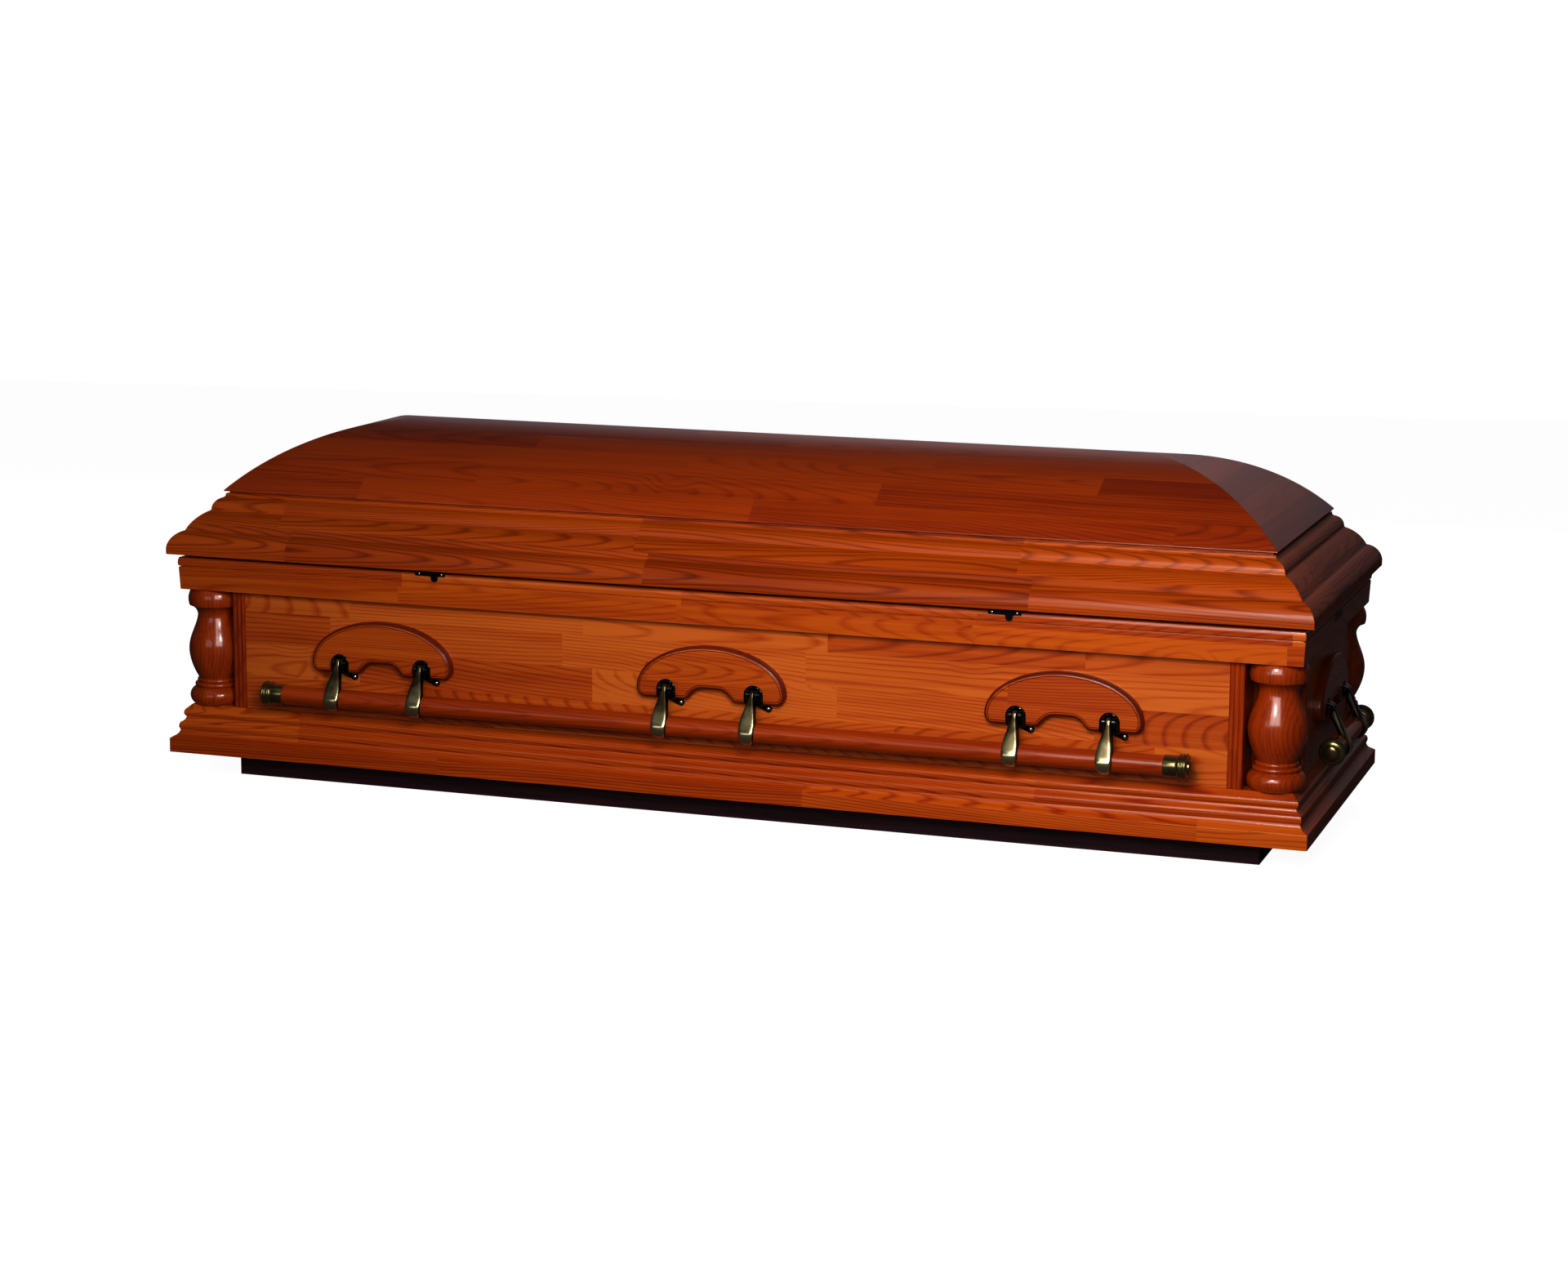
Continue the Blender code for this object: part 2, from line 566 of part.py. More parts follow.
def make_lug(name, to_side, centre):
    """A wooden lug plate with two brackets joined to it; to_side turns the front onto its side."""
    lug = prism(name, lug_outline(), LUG_THICKNESS - LUG_ROUND, CHERRY)
    mesh = bmesh.new()
    mesh.from_mesh(lug.data)
    front = [face for face in mesh.faces if face.normal.z > 0.5]
    bmesh.ops.inset_region(mesh, faces=front, thickness=LUG_ROUND, depth=LUG_ROUND, use_even_offset=True)
    mesh.to_mesh(lug.data)
    mesh.free()
    pieces = [lug]
    for side in (-1, 1):
        x = side * ARM_SPACING / 2
        notch = prism(name + "_notch", notch_outline(), LUG_THICKNESS + 2 * CUT_MARGIN, None, CUTTERS)
        notch.data.transform(Matrix.Translation((x, 0.0, -CUT_MARGIN)))
        boolean(lug, notch, "DIFFERENCE")
        pieces.append(notch)
        plate = prism(name + "_plate", notch_outline(), BRACKET_PLATE, None, CUTTERS)
        plate.data.transform(Matrix.Translation((x, 0.0, 0.0)) @ Matrix.Diagonal((1.04, 1.04, 1.0, 1.0)))
        boolean(lug, plate, "UNION")
        pieces.append(plate)
        for cheek_side in (-1, 1):
            cheek = make_cheek(name + "_cheek", x, cheek_side)
            boolean(lug, cheek, "UNION")
            pieces.append(cheek)
    upright = Matrix.Rotation(math.pi / 2, 4, "X")
    place = to_side @ Matrix.Translation((centre, -SEAT_GAP, 0.0)) @ upright
    for piece in pieces:
        piece.matrix_world = place
    return lug


def make_cheek(name, x, cheek_side):
    """One round-nosed cheek of a bracket, from its plate out past the pivot."""
    pivot_up = PIVOT_Z - LUG_Z
    pivot_out = PANEL_INSET + PIVOT_OUTSET
    nose = [(pivot_out + KNUCKLE_RADIUS * math.cos(turn), pivot_up + KNUCKLE_RADIUS * math.sin(turn))
            for turn in (math.pi * (step / 3 - 0.5) for step in range(4))]
    outline = [(BRACKET_PLATE / 2, pivot_up - CHEEK_FOOT)] + nose + [(BRACKET_PLATE / 2, pivot_up + CHEEK_HEAD)]
    cheek = prism(name, outline, CHEEK, None, CUTTERS)
    inner = ARM_TOP_WIDTH / 2 + CHEEK_GAP
    start = inner if cheek_side > 0 else -inner - CHEEK
    cheek.data.transform(Matrix(((0, 0, -1, x + start + CHEEK), (0, 1, 0, 0), (1, 0, 0, 0), (0, 0, 0, 1))))
    return cheek


def arm_side_outline():
    """Side view of an arm as (out, up) from the pivot: straight face, knuckle, and seat for the bar."""
    bar_out = BAR_OUTSET - PIVOT_OUTSET
    bar_up = BAR_LEVEL - PIVOT_LEVEL
    face = bar_out + BAR_RADIUS + ARM_FACE
    seat_back = bar_out - ARM_SEAT_DEPTH
    wrap = BAR_RADIUS + ARM_FACE
    points = [(KNUCKLE_RADIUS * math.cos(turn), KNUCKLE_RADIUS * math.sin(turn))
              for turn in (math.pi * (1.25 - 0.25 * step) for step in range(5))]
    points += [(face, bar_up + ARM_BELLY_RISE)]
    points += [(bar_out + wrap * math.cos(turn), bar_up - wrap * math.sin(turn))
               for turn in (math.pi / 2 * share for share in (0.2, 0.45, 0.7))]
    points += [(seat_back, bar_up - wrap + ARM_TIP_DROP), (seat_back, bar_up + BAR_RADIUS + ARM_LIP)]
    return points


def arm_front_outline():
    """Front view of an arm as (across, up) from the pivot: a paddle with a rounded tip."""
    top = KNUCKLE_RADIUS + ARM_LIP
    drop = PIVOT_LEVEL - BAR_LEVEL
    belly = -drop + ARM_BELLY_RISE
    tip = -drop - BAR_RADIUS - ARM_FACE - ARM_LIP / 2
    half_top, half = ARM_TOP_WIDTH / 2, ARM_WIDTH / 2
    right = [(half_top, top), (half_top, -ARM_CROWN)]
    right += [(half_top + (half - half_top) * math.sin(share * math.pi / 2) ** 1.3,
               -ARM_CROWN + (belly + ARM_CROWN) * share) for share in (0.4, 0.7, 1.0)]
    right += [(half * math.cos(turn) ** 0.8, belly + (tip - belly) * math.sin(turn))
              for turn in (math.pi / 2 * share for share in (0.35, 0.65, 0.88))]
    return right + [(-x, z) for x, z in reversed(right)]


def make_arm(name, to_side, centre):
    """A cast arm: its side view cut to its front view, then cleared round the bar."""
    depth = 0.080
    arm = prism(name, arm_side_outline(), ARM_WIDTH * 1.2, BRASS)
    arm.data.transform(Matrix(((0, 0, -1, ARM_WIDTH * 0.6), (-1, 0, 0, 0), (0, 1, 0, 0), (0, 0, 0, 1))))
    front = prism(name + "_front", arm_front_outline(), depth, None, CUTTERS)
    front.data.transform(Matrix(((1, 0, 0, 0), (0, 0, -1, depth / 2), (0, 1, 0, 0), (0, 0, 0, 1))))
    boolean(arm, front, "INTERSECT")
    bore = bmesh.new()
    bmesh.ops.create_cone(bore, cap_ends=True, segments=BAR_SIDES, radius1=BAR_RADIUS + SEAT_GAP * 1.5,
                          radius2=BAR_RADIUS + SEAT_GAP * 1.5, depth=ARM_WIDTH * 2)
    bar_place = Vector((0.0, PIVOT_OUTSET - BAR_OUTSET, BAR_LEVEL - PIVOT_LEVEL))
    bmesh.ops.transform(bore, matrix=Matrix.Translation(bar_place) @ Matrix.Rotation(math.pi / 2, 4, "Y"),
                        verts=bore.verts)
    bore = add_object(name + "_bore", bore, None, CUTTERS)
    boolean(arm, bore, "DIFFERENCE")
    for piece in (arm, front, bore):
        piece.matrix_world = to_side @ Matrix.Translation((centre, -PANEL_INSET - PIVOT_OUTSET,
                                                           PIVOT_Z - LUG_Z))
    return arm


def make_handle(place, to_side, bar_length, lug_centres):
    """One swing-bar handle: bar, two caps, lug plates and two arms at each plate."""
    out = -PANEL_INSET - BAR_OUTSET
    up = BAR_Z - LUG_Z
    wood = bar_length - 2 * (CAP_LENGTH - CAP_SOCKET) - 2 * SEAT_GAP
    mesh = bmesh.new()
    bmesh.ops.create_cone(mesh, cap_ends=True, segments=BAR_SIDES, radius1=BAR_RADIUS,
                          radius2=BAR_RADIUS, depth=wood)
    bar = add_object("bar_" + place, mesh, CHERRY)
    bar.matrix_world = to_side @ Matrix.Translation((0.0, out, up)) @ Matrix.Rotation(math.pi / 2, 4, "Y")
    for sign, end in ((-1, "a"), (1, "b")):
        cap = turned("cap_" + place + "_" + end, cap_profile(), BAR_SIDES, BRASS)
        shift = Matrix.Translation((sign * (bar_length / 2 - CAP_LENGTH), out, up))
        cap.matrix_world = to_side @ shift @ Matrix.Rotation(sign * math.pi / 2, 4, "Y")
    for number, centre in enumerate(lug_centres, 1):
        suffix = "_" + str(number) if len(lug_centres) > 1 else ""
        make_lug("lug_" + place + suffix, to_side, centre)
        for sign, end in ((-1, "a"), (1, "b")):
            make_arm("arm_" + place + suffix + "_" + end, to_side, centre + sign * ARM_SPACING / 2)


def side_frame(turn, reach):
    """Frame of one side of the casket: X along it, -Y outwards, the origin on its panel face."""
    return (Matrix.Rotation(turn, 4, "Z")
            @ Matrix.Translation((0.0, -(reach - PANEL_INSET), LUG_Z)))


def make_handles():
    """The four handles: a long one on each side and a short one on each end."""
    outer = HALF_LENGTH - LUG_END_INSET
    sides = (-outer, 0.0, outer)
    side_bar = LENGTH - 2 * SIDE_BAR_INSET
    make_handle("front", side_frame(0.0, HALF_WIDTH), side_bar, sides)
    make_handle("back", side_frame(math.pi, HALF_WIDTH), side_bar, sides)
    make_handle("right", side_frame(math.pi / 2, HALF_LENGTH), END_BAR_LENGTH, (0.0,))
    make_handle("left", side_frame(-math.pi / 2, HALF_LENGTH), END_BAR_LENGTH, (0.0,))


make_body()
make_lid()
make_handles()
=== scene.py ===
"""Dressed model of a hardwood casket with swing-bar handles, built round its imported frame.

Metres, +Z up. X runs along the casket, the front faces -Y and the ground is at zero. Mouldings are
drawn as (outset, height) points: outset is measured outwards from the rim of the lid, which is a
rectangle. Each side is modelled as if it were the front and then turned to its place.
"""
import logging
import math
from collections.abc import Callable, Sequence
from dataclasses import dataclass
from enum import Enum

import bpy
from mathutils import Matrix, Vector


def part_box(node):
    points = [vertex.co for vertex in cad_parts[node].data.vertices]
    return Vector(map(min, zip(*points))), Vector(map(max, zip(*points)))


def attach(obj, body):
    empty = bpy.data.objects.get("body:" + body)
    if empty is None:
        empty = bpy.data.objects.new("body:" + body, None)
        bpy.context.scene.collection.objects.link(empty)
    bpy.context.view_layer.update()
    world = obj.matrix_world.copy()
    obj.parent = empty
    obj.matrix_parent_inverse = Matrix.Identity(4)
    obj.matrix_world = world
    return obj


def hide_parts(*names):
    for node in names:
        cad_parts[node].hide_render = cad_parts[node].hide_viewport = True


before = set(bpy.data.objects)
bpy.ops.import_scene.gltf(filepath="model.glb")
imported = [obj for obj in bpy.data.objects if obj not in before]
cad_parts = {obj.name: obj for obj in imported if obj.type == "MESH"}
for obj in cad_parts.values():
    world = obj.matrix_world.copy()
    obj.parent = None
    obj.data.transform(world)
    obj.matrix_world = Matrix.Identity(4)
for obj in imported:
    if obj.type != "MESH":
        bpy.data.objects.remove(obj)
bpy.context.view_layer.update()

LOG = logging.getLogger("casket")
MM = 0.001
SEAT_GAP = 0.3 * MM
SEAM = 7 * MM
QUARTER = math.pi / 2
IMAGE_WIDTH = 1920

Point = tuple[float, float]
Triple = tuple[float, float, float]
Shades = tuple[str, str, str, str]
Material = bpy.types.Material
Node = bpy.types.Node
Piece = bpy.types.Object
Socket = bpy.types.NodeSocket
Tree = bpy.types.NodeTree
Woods = dict[bool, bpy.types.Material]


def low(node: str) -> Vector:
    """Give the lowest corner of a node of the frame."""
    return Vector(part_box(node)[0])


def high(node: str) -> Vector:
    """Give the highest corner of a node of the frame."""
    return Vector(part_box(node)[1])


HALF_LENGTH = high("lid_rim").x
HALF_WIDTH = high("lid_rim").y
FOOT_Z = low("base_moulding").z
SILL_Z = high("base_moulding").z
HEAD_Z = low("top_rail").z
RAIL_Z = high("top_rail").z
LID_Z = RAIL_Z + SEAM
EAVE_Z = high("lid_rim").z
PANEL_INSET = HALF_WIDTH + low("front_panel").y
WALL_INSET = HALF_WIDTH + high("front_panel").y
PANEL_FACE = SEAT_GAP - PANEL_INSET
RAIL_OUTSET = -16.5 * MM


class Side(Enum):
    """The four sides: how far each is turned from the front, and how far it lies from the middle."""

    FRONT = (0.0, HALF_WIDTH, HALF_LENGTH)
    RIGHT = (QUARTER, HALF_LENGTH, HALF_WIDTH)
    BACK = (math.pi, HALF_WIDTH, HALF_LENGTH)
    LEFT = (-QUARTER, HALF_LENGTH, HALF_WIDTH)

    @property
    def word(self) -> str:
        """Give the side's name in small letters."""
        return self.name.lower()

    @property
    def is_long(self) -> bool:
        """Tell whether the side runs along X."""
        return self.value[1] == HALF_WIDTH

    @property
    def half_run(self) -> float:
        """Give half the length of the rim along this side."""
        return self.value[2]

    def place(self) -> Matrix:
        """Give the matrix from (along, -outset, height) to the casket's own frame."""
        return Matrix.Rotation(self.value[0], 4, "Z") @ Matrix.Translation((0.0, -self.value[1], 0.0))


def linear(hex_colour: str) -> tuple[float, float, float, float]:
    """Turn an sRGB colour into the linear values that a shader takes.

    Args:
        hex_colour: a # and six hex digits.

    Returns:
        Red, green, blue and alpha.
    """
    shares = [int(hex_colour[start:start + 2], 16) / 255 for start in (1, 3, 5)]
    values = [share / 12.92 if share <= 0.04045 else ((share + 0.055) / 1.055) ** 2.4 for share in shares]
    return (*values, 1.0)


def feed(node: Node, inputs: dict) -> None:
    """Fill a node's sockets: nodes and sockets are linked, and plain values are set.

    Args:
        node: the node.
        inputs: what goes into each socket, by its name or number.
    """
    for socket, value in inputs.items():
        if isinstance(value, Node):
            value = value.outputs[0]
        if isinstance(value, Socket):
            node.id_data.links.new(value, node.inputs[socket])
        else:
            node.inputs[socket].default_value = value


def add_node(tree: Tree, kind: str, inputs: dict | None = None,
             stops: Sequence[tuple[float, str]] = (), **settings: object) -> Node:
    """Add a node with its settings and links.

    Args:
        tree: the node tree that it goes into.
        kind: the node's type name, without ShaderNode in front.
        inputs: for each socket, the node or socket that feeds it, or a plain value.
        stops: positions and hex colours of a colour ramp.
        settings: properties of the node.

    Returns:
        The new node.
    """
    node = tree.nodes.new("ShaderNode" + kind)
    for name, value in settings.items():
        setattr(node, name, value)
    feed(node, inputs or {})
    if stops:
        elements = node.color_ramp.elements
        while len(elements) < len(stops):
            elements.new(0.5)
        for element, (position, colour) in zip(elements, stops):
            element.position = position
            element.color = linear(colour)
    return node


def calc(tree: Tree, operation: str, *values: object, kind: str = "Math", **settings: object) -> Node:
    """Add a Math node with its inputs in order, or a VectorMath node where kind says so."""
    return add_node(tree, kind, dict(enumerate(values)), operation=operation, **settings)


def remap(tree: Tree, value: Node | Socket, *ends: float) -> Node:
    """Add a MapRange node: the two ends that a value comes in between, then the two that it goes out."""
    return add_node(tree, "MapRange", dict(enumerate((value, *ends))))


def noise(tree: Tree, spot: Node | Socket, scale: Triple, detail: float = 2.0, rough: float = 0.5) -> Node:
    """Add a noise with so many features to a metre along X, Y and Z."""
    drawn = calc(tree, "MULTIPLY", spot, scale, kind="VectorMath")
    return add_node(tree, "TexNoise", {"Vector": drawn, "Scale": 1.0, "Detail": detail, "Roughness": rough})


def relief(tree: Tree, height: Node, strength: float, distance: float) -> Node:
    """Add a Bump node whose distance is in millimetres."""
    return add_node(tree, "Bump", {"Height": height, "Strength": strength, "Distance": distance * MM})


class Grain(Enum):
    """Which way the fibres run, as the turn that brings them onto X."""

    ALONG_X = (0.0, 0.0, 0.0)
    ALONG_Y = (0.0, 0.0, -QUARTER)
    UPRIGHT = (0.0, QUARTER, 0.0)


@dataclass(frozen=True)
class Finish:
    """A material with its name, whose kinds say what feeds its Principled shader."""

    name: str

    def build(self) -> Material:
        """Make the material.

        Returns:
            The finished material.
        """
        material = bpy.data.materials.new(self.name)
        material.use_nodes = True
        tree = material.node_tree
        place = add_node(tree, "TexCoord").outputs["Object"]
        feed(tree.nodes["Principled BSDF"], self.sockets(tree, place))
        return material

    def sockets(self, tree: Tree, place: Socket) -> dict:
        """Give what goes into the shader's sockets, from the object's own coordinates."""
        raise NotImplementedError


@dataclass(frozen=True)
class LacqueredAsh(Finish):
    """Ash stained cherry red under a poured clear lacquer: open cathedral grain below a wet gloss.

    Staves are glued edge to edge and end to end, so the tone and the figure change from one to
    the next. Growth rings run out of each stave at a slant and show as nested arches. Gloss is the
    weight of the lacquer, and polish is how rough its skin is.
    """

    grain: Grain
    stave_width: float = 70.0
    stave_length: float = 620.0
    across: Triple = (0.0, 0.0, 1.0)
    ring: float = 4.2
    slant: float = 0.09
    seed: float = 0.0
    colours: Shades = ("#CC6814", "#AE4604", "#822800", "#440F00")
    figure: float = 0.34
    contrast: float = 0.34
    gloss: float = 0.6
    polish: float = 0.14
    board: float = 60.0
    tone: float = 0.12

    def sockets(self, tree: Tree, place: Socket) -> dict:
        """Lay out the staves, and mix rings, pores, clouds and streaks into one darkness.

        Args:
            tree: the material's node tree.
            place: the object's own coordinates.

        Returns:
            What goes into the shader's sockets.
        """
        across, ahead = Vector(self.across).normalized(), Vector((1.0, 0.0, 0.0))
        spot = add_node(tree, "Mapping", {"Vector": place, "Rotation": self.grain.value,
                                          "Location": (self.seed, self.seed * 0.37, self.seed * 0.61)})
        over, deep = (calc(tree, "DOT_PRODUCT", spot, way, kind="VectorMath").outputs["Value"]
                      for way in (across / (self.stave_width * MM), ahead.cross(across)))
        deep = calc(tree, "PINGPONG", deep, self.board * MM)
        row = calc(tree, "FLOOR", over)
        start = add_node(tree, "TexWhiteNoise", {"W": row}, noise_dimensions="1D").outputs["Value"]
        run = calc(tree, "MULTIPLY_ADD", add_node(tree, "SeparateXYZ", {0: spot}),
                   1 / (self.stave_length * MM), start)
        column = calc(tree, "FLOOR", run)
        stave = calc(tree, "MULTIPLY_ADD", column, 7.31, row)
        chance = add_node(tree, "TexWhiteNoise", {"W": stave}, noise_dimensions="1D").outputs
        draws = add_node(tree, "SeparateColor", {0: chance["Color"]}).outputs
        shifted = calc(tree, "MULTIPLY_ADD", chance["Color"], (9.0, 9.0, 9.0), spot, kind="VectorMath")
        rings, knot = self._rings(tree, shifted, (over, row, run, column, deep), draws)
        pores = remap(tree, noise(tree, shifted, (9.0, 430.0, 430.0), 3.0), 0.40, 0.68)
        cloud = noise(tree, shifted, (2.0, 14.0, 14.0))
        streak = noise(tree, shifted, (1.6, 110.0, 110.0), 3.0)

        dark = calc(tree, "MULTIPLY", rings, self.figure)
        for source, weight, shift in ((pores, 0.10, -0.03), (cloud, 0.40, -0.20), (streak, 0.5, -0.25),
                                      (chance["Value"], self.contrast, self.tone - self.contrast / 2)):
            dark = calc(tree, "ADD", dark, calc(tree, "MULTIPLY_ADD", source, weight, shift))
        dark = calc(tree, "ADD", dark, knot, use_clamp=True)
        colour = add_node(tree, "ValToRGB", {0: dark}, list(zip((0.0, 0.34, 0.68, 1.0), self.colours)))
        raised = calc(tree, "MULTIPLY_ADD", rings, 0.4, pores)
        return {"Base Color": colour, "Normal": relief(tree, raised, 0.10, 0.4), "Roughness": 0.42,
                "IOR": 1.3, "Coat Weight": self.gloss, "Coat Roughness": self.polish}

    def _rings(self, tree: Tree, spot: Node, stave: Sequence, draws: Sequence[Socket]) -> tuple[Node, Node]:
        """Add the growth rings, cut at a slant, and the small knots that they run round.

        Args:
            tree: the material's node tree.
            spot: the place in the stave.
            stave: the place across and along in staves, each with its whole number, and the depth.
            draws: three random shares of the stave.

        Returns:
            The late wood's mask and the knots' mask.
        """
        over, row, run, column, deep = stave
        sideways, reach = (calc(tree, "MULTIPLY_ADD", calc(tree, "SUBTRACT", part, whole), size, -size / 2)
                           for part, whole, size in ((over, row, self.stave_width * MM),
                                                     (run, column, self.stave_length * MM)))
        sideways = calc(tree, "ADD", sideways, remap(tree, draws[1], 0.0, 1.0, -0.11, 0.11))
        slope = remap(tree, draws[2], 0.0, 1.0, -self.slant, self.slant)
        depth = calc(tree, "MULTIPLY_ADD", reach, slope, remap(tree, draws[0], 0.0, 1.0, 0.012, 0.075))
        sway = noise(tree, spot, (2.2, 9.0, 9.0), 1.0)
        stretched = calc(tree, "MULTIPLY", spot, (2.6, 5.0, 5.0), kind="VectorMath")
        knots = add_node(tree, "TexVoronoi", {"Vector": stretched, "Scale": 1.0}).outputs["Distance"]
        for part in (deep, remap(tree, sway, 0.25, 0.75, -0.006, 0.006),
                     remap(tree, knots, 0.0, 0.16, 0.012, 0.0)):
            depth = calc(tree, "ADD", depth, part)
        flat = add_node(tree, "CombineXYZ", {0: depth, 1: sideways})
        radius = calc(tree, "LENGTH", flat, kind="VectorMath")
        turns = calc(tree, "MULTIPLY", radius.outputs["Value"], 1 / (self.ring * MM))
        late = add_node(tree, "ValToRGB", {0: calc(tree, "FRACT", turns)},
                        ((0.0, "#000000"), (0.55, "#2A2A2A"), (0.82, "#FFFFFF"), (0.90, "#BBBBBB"),
                         (1.0, "#000000")))
        return late, remap(tree, knots, 0.015, 0.04, 0.7, 0.0)


@dataclass(frozen=True)
class StainedPoplar(Finish):
    """Plain hardwood under a thin stain: dull, with a faint straight grain and no gloss."""

    light: str
    dark: str
    roughness: float

    def sockets(self, tree: Tree, place: Socket) -> dict:
        """Draw the grain out along X.

        Args:
            tree: the material's node tree.
            place: the object's own coordinates.

        Returns:
            What goes into the shader's sockets.
        """
        grain = noise(tree, place, (6.0, 160.0, 160.0), 4.0, 0.6)
        colour = add_node(tree, "ValToRGB", {0: grain}, ((0.32, self.dark), (0.68, self.light)))
        return {"Base Color": colour, "Normal": relief(tree, grain, 0.15, 0.3), "Roughness": self.roughness}


@dataclass(frozen=True)
class AntiqueBrass(Finish):
    """Brass plate darkened in a bath and relieved by hand: olive brown, pale where it is rubbed.

    Where a band of heights is given, the brass grows paler from the first height to the second: partly
    rubbing, partly a painted highlight where the arms' tips mirror the pale floor.
    """

    patina: str = "#6E6242"
    rubbed: str = "#9A8C62"
    worn: Point | None = None

    def sockets(self, tree: Tree, place: Socket) -> dict:
        """Mix the bath's stains, the rubbing and fine scratches.

        Args:
            tree: the material's node tree.
            place: the object's own coordinates.

        Returns:
            What goes into the shader's sockets.
        """
        stain = noise(tree, place, (34.0, 34.0, 34.0), 1.5)
        # Given a band of heights, the brass grows paler lower down: rubbing, and a painted highlight on the
        # arms' tips.
        if self.worn is not None:
            height = add_node(tree, "SeparateXYZ", {0: place}).outputs["Z"]
            stain = calc(tree, "ADD", stain, remap(tree, height, *self.worn, -0.2, 0.5))
        colour = add_node(tree, "ValToRGB", {0: stain}, ((0.30, self.patina), (0.75, self.rubbed)))
        scratch = noise(tree, place, (900.0, 900.0, 900.0))
        return {"Base Color": colour, "Roughness": remap(tree, stain, 0.3, 0.7, 0.26, 0.20),
                "Normal": relief(tree, scratch, 0.05, 0.1), "Metallic": 0.9}


@dataclass(frozen=True)
class PaintedSteel(Finish):
    """Pressed or cast metal with an even, slightly orange-peeled coat of enamel or plating."""

    colour: str
    roughness: float
    metallic: float = 0.0
    coat: float = 0.0

    def sockets(self, tree: Tree, place: Socket) -> dict:
        """Let a fine noise vary the gloss and raise the peel.

        Args:
            tree: the material's node tree.
            place: the object's own coordinates.

        Returns:
            What goes into the shader's sockets.
        """
        peel = noise(tree, place, (420.0, 420.0, 420.0), 1.0)
        rough = remap(tree, peel, 0.0, 1.0, self.roughness * 0.8, self.roughness * 1.2)
        return {"Base Color": linear(self.colour), "Roughness": rough, "Metallic": self.metallic,
                "Normal": relief(tree, peel, 0.06, 0.2), "Coat Weight": self.coat}


@dataclass(frozen=True)
class PaperSweep(Finish):
    """Seamless studio paper: matt and even, near white to the camera, with little bounce of its own."""

    seen: str = "#909090"
    bounced: str = "#585458"
    glow: float = 0.96

    def sockets(self, tree: Tree, place: Socket) -> dict:
        """Switch between the paper that the camera sees and the one that light meets.

        Args:
            tree: the material's node tree.
            place: the object's own coordinates, unused on plain paper.

        Returns:
            What goes into the shader's sockets.
        """
        path = add_node(tree, "LightPath").outputs["Is Camera Ray"]
        shades = {0: path, 6: linear(self.bounced), 7: linear(self.seen)}
        colour = add_node(tree, "Mix", shades, data_type="RGBA")
        return {"Base Color": colour.outputs[2], "Emission Strength": calc(tree, "MULTIPLY", path, self.glow),
                "Emission Color": linear("#FFFFFF"), "Roughness": 0.95, "Specular IOR Level": 0.1}


class Finishes:
    """Every material of the casket, each made once."""

    def __init__(self) -> None:
        """Build the materials."""
        deep = ("#B44C04", "#943400", "#6C1E00", "#370C00")
        self.rim = self._pair("rim_ash", seed=1.3, stave_width=58.0, stave_length=700.0, gloss=0.2,
                              colours=("#BC5A0E", "#9A3E02", "#722400", "#3A0E00"))
        self.rail = self._pair("rail_ash", seed=5.7, stave_width=44.0, stave_length=540.0, figure=0.2)
        self.base = self._pair("base_ash", seed=9.1, stave_width=62.0, stave_length=700.0, gloss=0.45)
        self.panel = self._pair("panel_ash", seed=3.4, stave_width=60.0, stave_length=460.0, ring=5.6,
                                slant=0.15, figure=0.28, colours=("#D4762C", "#BA5412", "#8C3400", "#4C1400"))
        self.dome = self._pair("dome_ash", seed=7.9, stave_width=56.0, stave_length=760.0, gloss=1.0,
                               across=(0.0, 0.8, 0.45), figure=0.2, contrast=0.4, colours=deep, polish=0.3)
        self.lug = self._pair("lug_ash", seed=2.2, stave_width=160.0, stave_length=330.0, contrast=0.12,
                              figure=0.26, gloss=1.0)
        # The lug plates' rounded edges take a darker, duller ash: painted shade round each plate.
        self.lug_edge = self._pair("lug_edge_ash", seed=2.2, stave_width=160.0, stave_length=330.0,
                                   contrast=0.1, figure=0.2, gloss=0.35,
                                   colours=("#802C04", "#6A2200", "#4C1400", "#280700"))
        self.bar = self._pair("bar_ash", seed=6.6, stave_width=60.0, stave_length=2400.0, figure=0.16,
                              contrast=0.1, colours=deep)
        self.post = LacqueredAsh("post_ash", Grain.UPRIGHT, 120.0, 900.0, seed=4.8, figure=0.2,
                                 contrast=0.1, colours=deep).build()
        self.column = LacqueredAsh("column_ash", Grain.UPRIGHT, 160.0, 900.0, seed=8.3, ring=5.5, slant=0.05,
                                   contrast=0.1, figure=0.2, gloss=1.0, colours=deep).build()
        # The plinth's dark maroon is partly its own stain and partly painted shadow, matched to the shadowed
        # strip under the base.
        self.plinth = StainedPoplar("stained_plinth", "#5E2E36", "#3A1A22", 0.5).build()
        self.inside = StainedPoplar("plain_poplar", "#B48A5A", "#8C6438", 0.75).build()
        self.brass = AntiqueBrass("antique_brass").build()
        # The arms' brass turns cream towards the tip: rubbing, and a painted highlight of the pale floor.
        self.arm_brass = AntiqueBrass("antique_brass_arm", "#54482C", "#B8AC84", (0.225, 0.165)).build()
        # Near-black brass for the arms' sides, back and top, which turn away from the front lamps: painted
        # shade over the patina.
        self.dark_brass = AntiqueBrass("antique_brass_dark", "#1A1610", "#2C261A").build()
        self.black = PaintedSteel("black_enamel", "#08090B", 0.16, coat=0.6).build()
        self.screw = PaintedSteel("nickel_plate", "#C9CCCB", 0.14, metallic=1.0).build()
        self.plate = PaintedSteel("bare_nameplate", "#6F6A6A", 0.45, metallic=0.8).build()

    @staticmethod
    def _pair(name: str, **settings: object) -> Woods:
        """Make one wood for the long sides, under True, and one for the ends, under False."""
        return {True: LacqueredAsh(name + "_long", Grain.ALONG_X, **settings).build(),
                False: LacqueredAsh(name + "_short", Grain.ALONG_Y, **settings).build()}


def only(piece: Piece) -> None:
    """Select one object alone and make it active.

    Args:
        piece: the object.
    """
    bpy.ops.object.select_all(action="DESELECT")
    piece.select_set(True)
    bpy.context.view_layer.objects.active = piece


